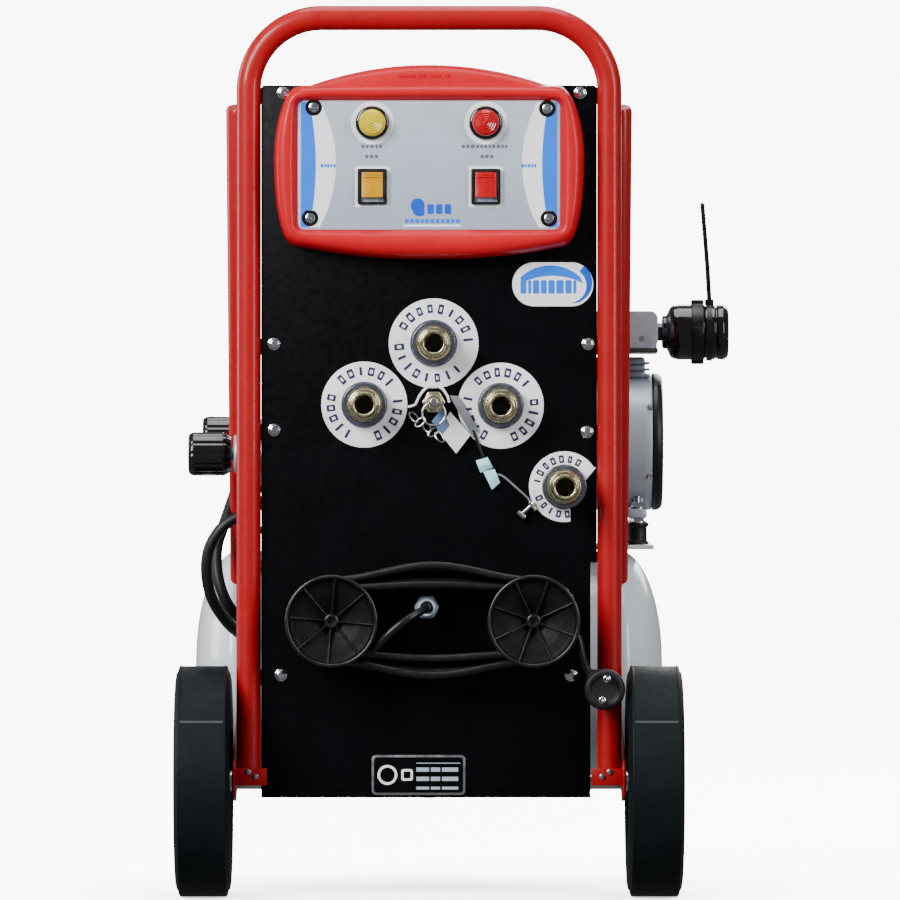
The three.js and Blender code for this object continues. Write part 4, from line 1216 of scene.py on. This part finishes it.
for side, _ in SIDES:
    hook = mm_centre(f"cord_hook_{side}")
    spool = [
        (0, -1.2), (32.4, -1.2), (33, -2), (33, -4.2), (32, -4.8), (24.9, -5), (24.4, -6), (24.4, -49),
        (25.4, -50.8), (38.6, -52.2), (39.8, -53.2), (39.9, -55), (39.8, -57), (39.2, -58.4), (38.4, -59),
        (37.6, -59), (36.8, -58.4), (35.6, -55.8), (33, -54.2), (25, -52.6), (21, -51), (9, -45.5),
        (6.5, -45), (0, -45),
    ]
    centre = (hook.x, 0, hook.z)
    spool = turned(spool, 0.6, "y", centre, 112, arcs=2)
    first_rib = math.radians(5 if side == "left" else 65)
    fins = dish_ribs(centre, 5.5, 36.4, -44.5, (-50.5, -58.2), (2.6, 6.6), first_rib)
    hub = [(0, -44), (6.6, -44), (6.2, -50.4), (5, -51.2), (3.4, -51.2), (3, -47), (0, -47)]
    hub = turned(hub, 0.4, "y", centre, 40)
    rim_ring = [
        (36.5, -57), (36.5, -58.8), (37.4, -59.8), (38.6, -60), (39.7, -59.3), (40, -58), (40, -55.5),
        (38.5, -55.5),
    ]
    rim_ring = turned(rim_ring, 0.4, "y", centre, 112, arcs=2)
    # The spool is in a darker copy of the hook plastic, painted shade in its dish; the ribs, hub and rim keep
    # the plain one.
    piece(f"hook_spool_{side}", spool, "hook_dish", stands_for=f"cord_hook_{side}", slot="black_plastic")
    piece(f"hook_ribs_{side}", together(fins, hub, rim_ring), "hook_plastic", slot="black_plastic", sharp=28)

# The gland: a hexagonal nut, a ribbed cap nut and a dark mouth round the cord.
gland_profile = [
    (0, -1.2), (9.6, -1.2), (9.6, -6.4), (10, -7), (10, -19), (9.4, -21), (8.2, -25.4), (7.6, -27.4),
    (6.8, -28), (5.8, -28), (5.2, -27), (4.6, -22), (0, -22),
]
facets = lambda angle, r: r * (1 + 0.035 * math.cos(6 * angle)) if 9.5 < r < 10.5 else r
cap_nut = turned(gland_profile, 0.5, "y", (GLAND.x, 0, GLAND.z), 96, wave=facets, arcs=2)
base_nut = hex_head((GLAND.x, -1.2, GLAND.z), "y", 21.4, -6)
piece("gland_nut", together(cap_nut, base_nut), "gland_grey", stands_for="cable_gland")
mouth = [(3.6, -22.4), (5.0, -22.4), (5.6, -27.6), (5.0, -27.7), (3.6, -27.2)]
piece("gland_mouth", lathe(mouth, "y", (GLAND.x, 0, GLAND.z), 48), "black_rubber")


# ---- Rating plate and badge ----
silver = slab(rounded_box((-49.6, 31.4), (88.4, 123), 4), (-1.9, -0.9), bevel=0.25)
piece("rating_border", silver, "zinc_steel")
field = slab(rounded_box((-47.6, 29.4), (90.4, 121), 2.6), (-2.0, -1.6), bevel=0)
piece("rating_field", field, "panel_black")
cells = []
for z, height in ((115.6, 0.7), (108.6, 3.6), (100.6, 3.6), (93.2, 2.4)):
    widths = (38,) if height < 1 else (11, 8, 14)
    x = -11
    for width in widths:
        cells.append(slab(rounded_box((x, x + width), (z, z + height), 0.3, 2), (-2.15, -1.8), bevel=0))
        x += width + 1.6
piece("rating_cells", together(*cells), "face_grey")
ring_mark = lathe([(6.4, -2.2), (8.6, -2.2), (8.6, -1.8), (6.4, -1.8)], "y", (-36, 0, 105.8), 48)
hollow = rounded_box((-22, -16), (102.8, 108.8), 1)
square_mark = slab(rounded_box((-24, -14), (100.8, 110.8), 2), (-2.2, -1.8), [hollow], bevel=0)
piece("rating_marks", together(ring_mark, square_mark), "white_print")

printed("badge_field", rounded_box((72, 142), (511, 549), 18.9, 12), "white_print", y=-1, lift=0.6)
swoosh = arc_points((79, 536), (106, 546.4), (131, 536)) + arc_points((133, 531), (106, 537.4), (80, 531))
printed("badge_arc", swoosh, "sky_print", y=-1.5, lift=0.3)
letters = []
x = 79
for width in (5.2, 2.6, 5.4, 5, 5.4, 6.2, 5.4, 2.6):
    letters.append(slab(rounded_box((x, x + width), (522, 533.6), 1.2), (-1.9, -1.3), bevel=0))
    x += width + 1.5
piece("badge_blocks", together(*letters), "sky_print")
tail = arc_points((134, 546), (141, 530), (128, 514)) + arc_points((122, 514), (136, 530), (130, 541))
printed("badge_tail", tail, "blue_print", y=-1.5, lift=0.35)


# ---- Regulators, their knobs and the air hoses at the left ----
# name, Y, Z, and the knob's left and right ends
REGULATORS = (("front", 58, 383, -209.6, -172), ("rear", 156, 396.5, -199.5, -170))
OUTLET_X = -146
manifold = [block((-138, -106), (38, 176), (364, 412), 2.5), block((-134, -110), (1.3, 40), (368, 390), 1.5)]
for _, y, z, _, right in REGULATORS:
    bonnet = [
        (0, -126), (16.8, -126), (17, -127), (17, -146), (16.2, -147), (16.2, -149), (17, -150),
        (17, right + 4), (15.6, right + 2), (6, right + 2), (5.6, right - 2), (5.6, right - 15),
        (0, right - 15),
    ]
    manifold.append(turned(bonnet, 0.6, "x", (0, y, z), 64))
    stub = [(0, -34), (6.4, -34), (6.4, -28), (7, -27), (7, -12), (0, -12)]
    manifold.append(turned(stub, 0.5, "z", (OUTLET_X, y, z), 40))
for y in (78, 136):
    manifold.append(turned([(0, 36), (8, 36), (8, 40), (0, 40)], 0.6, "z", (-122, y, 374), 32))
piece("regulator_body", together(*manifold), "cast_aluminium", stands_for="regulator_block")
for _, y, z, _, _ in REGULATORS:
    nuts = together(hex_head((-153, y, z), "x", 25, -6), hex_head((OUTLET_X, y, z - 28), "z", 15, -6))
    piece(f"regulator_nuts_{y}", nuts, "brass")

for name, y, z, left, right in REGULATORS:
    lobes = lambda angle, r: r - 0.9 * max(0, math.cos(12 * angle)) ** 3 if r > 16.5 else r
    knob = [
        (0, left + 1.2), (9, left + 1.0), (10, left + 0.2), (15.6, left), (17.2, left + 0.8),
        (18.7, left + 3), (19, left + 5), (19, right - 7), (18.2, right - 4.5), (15, right), (6.4, right),
        (6.4, right - 18), (0, right - 18),
    ]
    knob = turned(knob, 0.7, "x", (0, y, z), 144, wave=lobes)
    piece(f"knob_cap_{name}", knob, "black_gloss", f"knob_{name}", f"knob_{name}", slot="black_plastic")
    collar = [(7, right + 2.4), (15, right + 2.4), (15, right + 6), (7, right + 6)]
    piece(f"knob_collar_{name}", turned(collar, 0.5, "x", (0, y, z), 48), "brass")

HOSE_R = 5
front_route = [
    (OUTLET_X, 58, 346.2), (-146.8, 58, 341), (-157, 58, 333), (-178, 58, 321), (-191, 59, 302),
    (-194, 63, 280), (-189, 72, 256), (-175, 90, 234), (-156, 114, 218),
]
rear_route = [
    (OUTLET_X - 4, 156, 373), (-157, 154, 371), (-166, 149, 361), (-173, 140, 342), (-180, 129, 321),
    (-186, 118, 301), (-185.5, 109, 278), (-179, 106, 256), (-168, 112, 240), (-154, 126, 231),
]
for name, route, stands in (("front", front_route, "air_hose"), ("rear", rear_route, ())):
    piece(f"air_line_{name}", tube(smooth_path(route, 10), HOSE_R, 28), "black_rubber", stands_for=stands)
    start, second, *_, last, tip = (Vector(p) for p in route)
    ahead, back = (second - start).normalized(), (tip - last).normalized()
    ends = [
        tube([start + ahead * 0.2, start + ahead * 12], HOSE_R + 1.4, 28),
        tube([tip - back * 14, tip - back], HOSE_R + 1.4, 28),
    ]
    piece(f"air_line_ferrules_{name}", together(*ends), "zinc_steel")


# ---- Pump ----
PUMP_X, PUMP_Y, PUMP_Z, REACH, DRUM = 72.7, 218, 393, 96.3, 61
PLATE_LOW, PLATE_TOP, MOUNT_TOP = 298, 302, 325
HEAD_LOW, HEAD_TOP, HEAD_HALF, HEAD_DEPTH = 472.6, 508.6, 33.4, 39
FOOT_REACH = 111.5  # from the pump's middle to each pair of rubber mounts
PIPE_Z = 492  # the ports of both heads
PUMP = (PUMP_X, PUMP_Y, PUMP_Z)


def off_axis(along, radius, angle):
    """A place round the pump's shaft."""
    return (PUMP_X + along, PUMP_Y + radius * math.cos(angle), PUMP_Z + radius * math.sin(angle))


plate = [block((-53.3, 198.7), (170, 266), (PLATE_LOW, PLATE_TOP), 1.0)]
for x in (PUMP_X - 83, PUMP_X + 83):
    angles = [math.radians(27 - k * 4.5) for k in range(13)]
    cradle = [(TANK_Y + 104.4 * math.sin(a), TANK_Z + 104.4 * math.cos(a)) for a in angles]
    plate.append(prism([(170, 299), (266, 299), (266, 284.6), *cradle, (170, 284.6)], (x - 2, x + 2), 0.5))
    plate.append(seam((x + 2.6, 176, 287.0), (x + 2.6, 206, 295.2), 1.6))
piece("pump_base", together(*plate), "tank_grey", stands_for="pump_plate")

motor_half = REACH - 34.5
fins = [(48, -motor_half), (55, -motor_half)]
for k in range(12):
    x = -54 + k * 9.6
    fins += [(54.6, x - 2.6), (52.4, x - 1.8), (52.4, x + 1.6), (56, x + 2.4)]
fins += [(56, motor_half), (48, motor_half), (48, 34), (31.5, 34), (31.5, -34), (48, -34)]
piece("motor_shell", lathe(fins, "x", PUMP, 96), "cast_aluminium", stands_for="motor_housing", sharp=40)
rods = []
for k in range(4):
    angle = math.radians(45 + 90 * k)
    rods.append(tube([off_axis(-motor_half, 54, angle), off_axis(motor_half, 54, angle)], 2.4, 16))
piece("motor_rods", together(*rods), "zinc_steel")
terminal = [
    block((PUMP_X - 24, PUMP_X + 24), (152, 174), (400, 436), 2.5),
    block((PUMP_X - 21, PUMP_X + 21), (150.4, 153), (403, 433), 1),
    turned([(0, 0), (7, 0), (7, 9), (4.4, 14), (0, 14)], 0.6, "x", (PUMP_X - 38, 163, 417), 32),
]
piece("motor_terminal_box", together(*terminal), "black_plastic")

for side, sign in SIDES:
    x = PUMP_X + sign * REACH
    wall = DRUM - 7.5
    drum = [
        (12.4, REACH - 30.5), (DRUM - 14, REACH - 30.5), (DRUM - 5, REACH - 28.5), (DRUM - 1.4, REACH - 24),
        (DRUM, REACH - 17), (DRUM, REACH + 22), (DRUM - 0.6, REACH + 27.6), (DRUM - 1.6, REACH + 28.6),
        (wall + 2.4, REACH + 28.6), (wall, REACH + 33), (wall, REACH - 25.5), (12.4, REACH - 26.5),
    ]
    case = [lathe(facing(rounded_profile(drum, 1.2), sign), "x", PUMP, 112)]
    near, far = sorted((PUMP_X + sign * (FOOT_REACH - 8.5), PUMP_X + sign * (FOOT_REACH + 8.5)))
    case.append(block((near, far), (PUMP_Y - 46, PUMP_Y + 46), (MOUNT_TOP + 0.3, MOUNT_TOP + 9), 2.5))
    for y in (PUMP_Y - 31, PUMP_Y + 31):
        case.append(block((near + 3, far - 3), (y - 4, y + 4), (MOUNT_TOP + 7, MOUNT_TOP + 24), 1.5))
    case = together(*case)
    piece(f"pump_case_{side}", case, "drum_paint", stands_for=f"crankcase_{side}", slot="cast_aluminium")
    barrel = [block((x - 22.5, x + 22.5), (PUMP_Y - 26, PUMP_Y + 26), (PUMP_Z + 36, HEAD_LOW - 4.4), 3)]
    for z in (444, 450, 456, 461.6):
        barrel.append(block((x - 26.4, x + 26.4), (PUMP_Y - 30, PUMP_Y + 30), (z, z + 2.2), 0.7))
    piece(f"pump_barrel_{side}", together(*barrel), "dark_cast", slot="cast_aluminium")

    rim = [
        (wall + 0.4, REACH + 29), (DRUM - 0.4, REACH + 29), (DRUM, REACH + 30), (DRUM - 0.4, REACH + 33.4),
        (DRUM - 2.2, REACH + 36.6), (DRUM - 5, REACH + 37.9), (wall + 0.4, REACH + 37.8),
    ]
    guard = [lathe(facing(rounded_profile(rim, 0.5), sign), "x", PUMP, 96)]
    for radius in (16, 24, 32, 40, 47.5):
        hoop_points = [off_axis(sign * (REACH + 36.6), radius, 2 * math.pi * k / 64) for k in range(65)]
        guard.append(tube(hoop_points, 1.1, 10))
    boss = [(0, REACH + 34), (10, REACH + 34), (10, REACH + 37.8), (0, REACH + 37.8)]
    guard.append(lathe(facing(rounded_profile(boss, 0.8), sign), "x", PUMP, 48))
    for k in range(8):
        angle = math.radians(22.5 + 45 * k)
        guard.append(tube([off_axis(sign * (REACH + 36.2), r, angle) for r in (9, wall + 1.4)], 1.2, 10))
    piece(f"fan_guard_{side}", together(*guard), "black_plastic")
    places = [off_axis(sign * (REACH + 24), DRUM - 1.2, math.radians(a)) for a in (150, 210, 30, 330)]
    case_screws = [hex_head(place, "x", 6, sign * 4) for place in places]
    piece(f"case_screws_{side}", together(*case_screws), "zinc_steel")

    valve_depth = (PUMP_Y - 38, PUMP_Y + 38)
    valve_plate = block((x - 32.8, x + 32.8), valve_depth, (HEAD_LOW - 1.8, HEAD_LOW - 0.4), 0.4)
    piece(f"valve_plate_{side}", valve_plate, "cast_aluminium")
    gasket = block((x - 33.4, x + 33.4), (PUMP_Y - 39, PUMP_Y + 39), (HEAD_LOW - 0.6, HEAD_LOW + 3.4), 0.4)
    piece(f"head_gasket_{side}", gasket, "gasket")
    cover = rounded_box((x - HEAD_HALF, x + HEAD_HALF), (HEAD_LOW + 3.4, HEAD_TOP), 7, 8)
    cover = slab(cover, (PUMP_Y - HEAD_DEPTH, PUMP_Y + HEAD_DEPTH), bevel=2.6, segments=4)
    ear = [(0, HEAD_LOW + 2.6), (6.6, HEAD_LOW + 2.6), (6.6, HEAD_TOP - 14), (0, HEAD_TOP - 14)]
    corners = [(i, j) for i in (-1, 1) for j in (-1, 1)]
    ears = [turned(ear, 1, "z", (x + i * 26, PUMP_Y + j * 32.4, 0), 32) for i, j in corners]
    piece(f"head_cover_{side}", together(cover, *ears), "cast_aluminium", stands_for=f"head_{side}")
    bolts = [hex_head((x + i * 24.6, PUMP_Y + j * 30.4, HEAD_TOP - 3), "z", 8, 2.9) for i, j in corners]
    bolts += [hex_head((x + i * 20, PUMP_Y - HEAD_DEPTH + 0.4, HEAD_LOW + 12), "y", 5, -1.5) for i in (-1, 1)]
    piece(f"head_bolts_{side}", together(*bolts), "zinc_steel")

    mount_x = PUMP_X + sign * FOOT_REACH
    for end, across in (("front", -36), ("rear", 36)):
        y = PUMP_Y + across
        low, top = PLATE_TOP + 0.3, MOUNT_TOP - 3.6
        rubber = [
            (0, low), (10, low), (10, low + 2.2), (8.6, low + 3.6), (8.4, top - 4), (10, top - 2.4),
            (10, top), (0, top),
        ]
        rubber = turned(rubber, 0.6, "z", (mount_x, y, 0), 48)
        piece(f"mount_rubber_{side}_{end}", rubber, "black_rubber", stands_for=f"rubber_mount_{side}_{end}")
        nuts = [
            hex_head((mount_x, y, top), "z", 12, 3.8, 8.6),
            hex_head((mount_x, y, MOUNT_TOP + 9.2), "z", 11, 5.6, 8),
            tube([(mount_x, y, MOUNT_TOP + 9), (mount_x, y, MOUNT_TOP + 20)], 3.2, 20),
        ]
        piece(f"mount_nuts_{side}_{end}", together(*nuts), "zinc_steel")

inner_left, inner_right = PUMP_X - REACH + HEAD_HALF, PUMP_X + REACH - HEAD_HALF
link_y = PUMP_Y - 13
link = [
    (inner_left + 1, PIPE_Z), (inner_left + 20, PIPE_Z), (inner_left + 46, PIPE_Z + 8),
    (inner_right - 46, PIPE_Z + 8), (inner_right - 20, PIPE_Z), (inner_right - 1, PIPE_Z),
]
link = rounded_path([(x, link_y, z) for x, z in link], 20, 8)
piece("link_pipe", tube(link, 4.4, 28), "zinc_steel")
link_nuts = [
    hex_head((inner_left + 0.4, link_y, PIPE_Z), "x", 14, 8.5),
    hex_head((inner_right - 0.4, link_y, PIPE_Z), "x", 14, -8.5),
]
piece("link_nuts", together(*link_nuts), "brass")

DELIVERY_X = -81.5
outer_left = PUMP_X - REACH - HEAD_HALF
delivery = [(outer_left - 0.3, PUMP_Y, PIPE_Z), (DELIVERY_X, PUMP_Y, PIPE_Z), (DELIVERY_X, PUMP_Y, 288)]
delivery = tube(rounded_path(delivery, 20, 12), 4.6, 32)
piece("delivery_line", delivery, "braid", stands_for="delivery_hose", slot="zinc_steel")
fittings = [
    hex_head((outer_left - 0.4, PUMP_Y, PIPE_Z), "x", 14, -8),
    tube([(DELIVERY_X, PUMP_Y, 305), (DELIVERY_X, PUMP_Y, 322)], 6.2, 28),
    hex_head((DELIVERY_X, PUMP_Y, 295.6), "z", 17, 10),
]
piece("delivery_fittings", together(*fittings), "brass")

# The intake filter: a can in two halves, a band with lugs, and the long tail of its cable tie.
FILTER_LOW, FILTER_Z, FILTER_R = 206.5, 490.4, 24.6
FILTER = (FILTER_LOW, PUMP_Y, FILTER_Z)
can = [
    (0, 0.4), (13.4, 0.4), (14.6, 1.2), (15, 4.4), (17, 5.6), (21.6, 7.4), (FILTER_R - 1, 10.4),
    (FILTER_R, 15), (FILTER_R, 37.6), (FILTER_R - 1.5, 38.4), (FILTER_R - 1.5, 40.2), (FILTER_R - 0.3, 41),
    (FILTER_R - 0.2, 47), (FILTER_R - 1.3, 47.8), (FILTER_R - 1.3, 49), (FILTER_R - 0.2, 49.8),
    (FILTER_R, 54.4), (FILTER_R - 2.2, 58.2), (FILTER_R - 4, 59.3), (0, 59.3),
]
outer_right = PUMP_X + REACH + HEAD_HALF
spigot = tube([(outer_right + 0.4, PUMP_Y, FILTER_Z), (FILTER_LOW + 2, PUMP_Y, FILTER_Z)], 8, 32)
can = together(turned(can, 0.6, "x", FILTER, 120), spigot)
piece("filter_can", can, "black_gloss", stands_for="intake_filter")
BAND_MID, TIE = 31.8, 42.3  # along the can
band = [(FILTER_R - 1, -5.4), (26.0, -5.4), (26.2, -4.4), (26.2, 4.4), (26.0, 5.4), (FILTER_R - 1, 5.4)]
lugs = [turned([(r, BAND_MID + a) for r, a in band], 0.4, "x", FILTER, 96)]
for k in range(4):
    lug = block((BAND_MID - 5.6, BAND_MID + 5.6), (-4.2, 4.2), (22.6, 28.6), 1.4)
    lugs.append(moved(lug, at(*FILTER) @ Matrix.Rotation(math.radians(90 * k), 4, "X")))
piece("filter_band", together(*lugs), "black_plastic")
tie_x, tie_y = FILTER_LOW + TIE, PUMP_Y - 4
tail = [(0, 512), (0, 520), (1.6, 548), (4, 578), (6, 602), (6.2, 605)]
tail = tube([(tie_x - lean, tie_y, z) for lean, z in tail], [2.7, 2.8, 2.8, 2.7, 2.7, 2.0], 4)
band = lathe([(24.2, TIE - 2.4), (25.6, TIE - 2.4), (25.6, TIE + 2.4), (24.2, TIE + 2.4)], "x", FILTER, 96)
buckle = block((tie_x - 3.8, tie_x + 3.8), (PUMP_Y - 8, PUMP_Y), (513.6, 519.4), 1)
piece("filter_tie", together(tail, band, buckle), "black_plastic")

# The pressure switch on the tank, behind the panel
SWITCH_X = -124
switch = [
    block((SWITCH_X - 24.5, SWITCH_X + 24.5), (PUMP_Y - 28.5, PUMP_Y + 28.5), (315, 375), 3.5, 3),
    block((SWITCH_X - 26, SWITCH_X + 26), (PUMP_Y - 30, PUMP_Y + 30), (311, 318), 2),
    turned([(0, 0), (8, 0), (8, 10), (5, 15), (0, 15)], 0.8, "y", (SWITCH_X, PUMP_Y - 43.6, 333), 40),
    turned([(0, 0), (9, 0), (9, 15), (0, 15)], 0.8, "z", (SWITCH_X, PUMP_Y, 297), 40),
]
piece("switch_box", together(*switch), "black_plastic", stands_for="pressure_switch")
piece("switch_nut", hex_head((SWITCH_X, PUMP_Y, 296), "z", 21, 5), "brass")

# Inside the pump the CAD shapes stay, with worked-metal surfaces.
for name, material in (
    ("rotor_shaft", "zinc_steel"), ("piston_left", "cast_aluminium"), ("piston_right", "cast_aluminium")
):
    mesh = frame["nodes"][name].data
    mesh.materials.clear()
    mesh.materials.append(MATERIALS[material])


# ---- Floor and light ----
# The floor glows like a studio's light table, but only towards the camera, and less close under the machine,
# where ambient occlusion dims the glow as a painted contact shadow.
BACKDROP_GLOW = 9
floor_mesh = bpy.data.meshes.new("floor")
floor_mesh.from_pydata([(-60, -60, 0), (60, -60, 0), (60, 60, 0), (-60, 60, 0)], [], [(0, 1, 2, 3)])
floor = bpy.data.objects.new("floor", floor_mesh)
bpy.context.scene.collection.objects.link(floor)
floor_mesh.materials.append(MATERIALS["floor"])
floor_tree = MATERIALS["floor"].node_tree
floor_shader = floor_tree.nodes["Principled BSDF"]
floor_shader.inputs["Emission Color"].default_value = (1, 1, 1, 1)
# Ambient occlusion lowers the floor's glow near the machine: a painted contact shadow.
contact_shadow_ao = node(floor_tree, "AmbientOcclusion", Distance=0.30)
glow = node(floor_tree, "MapRange", To_Min=0.5, To_Max=BACKDROP_GLOW)
floor_tree.links.new(contact_shadow_ao.outputs["AO"], glow.inputs["Value"])
floor_tree.links.new(glow.outputs["Result"], floor_shader.inputs["Emission Strength"])
floor.visible_diffuse = False
floor.visible_glossy = False
floor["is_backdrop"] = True

# A bright white surround behind the object, and a dimmer one that lights it.
world = bpy.data.worlds.new("world")
bpy.context.scene.world = world
world.use_nodes = True
world_tree = world.node_tree
surround = world_tree.nodes["Background"]
surround.inputs["Color"].default_value = (0.93, 0.96, 1, 1)
surround.inputs["Strength"].default_value = 0.20
backdrop = node(world_tree, "Background", Color=(1, 1, 1, 1), Strength=BACKDROP_GLOW)
chooser = node(world_tree, "MixShader")
rays = node(world_tree, "LightPath")
world_tree.links.new(rays.outputs["Is Camera Ray"], chooser.inputs[0])
world_tree.links.new(surround.outputs[0], chooser.inputs[1])
world_tree.links.new(backdrop.outputs[0], chooser.inputs[2])
world_tree.links.new(chooser.outputs[0], world_tree.nodes["World Output"].inputs["Surface"])


def soft_light(name, place, target, size, power):
    """A rectangular lamp that looks at a target, in metres."""
    light = bpy.data.lights.new(name, "AREA")
    light.shape = "RECTANGLE"
    light.size, light.size_y = size
    light.energy = power
    lamp = bpy.data.objects.new(name, light)
    bpy.context.scene.collection.objects.link(lamp)
    lamp.location = place
    lamp.rotation_euler = (Vector(target) - Vector(place)).to_track_quat("-Z", "Y").to_euler()


soft_light("key", (-1.9, -2.3, 1.9), (0, 0, 0.4), (1.2, 1.9), 175)
soft_light("fill", (2.3, -1.9, 1.3), (0, 0, 0.4), (0.8, 2.0), 55)
soft_light("top", (0.1, 0.1, 2.8), (0, 0.1, 0.4), (2.0, 1.6), 55)
soft_light("rear", (0.8, 2.8, 1.6), (0, 0.1, 0.4), (1.8, 1.8), 70)
soft_light("left", (-2.8, 1.2, 1.2), (0, 0.1, 0.4), (1.2, 1.8), 45)

low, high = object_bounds()
{"cad": [list(c) for c in cad_bounds], "visual": [list(low), list(high)]}
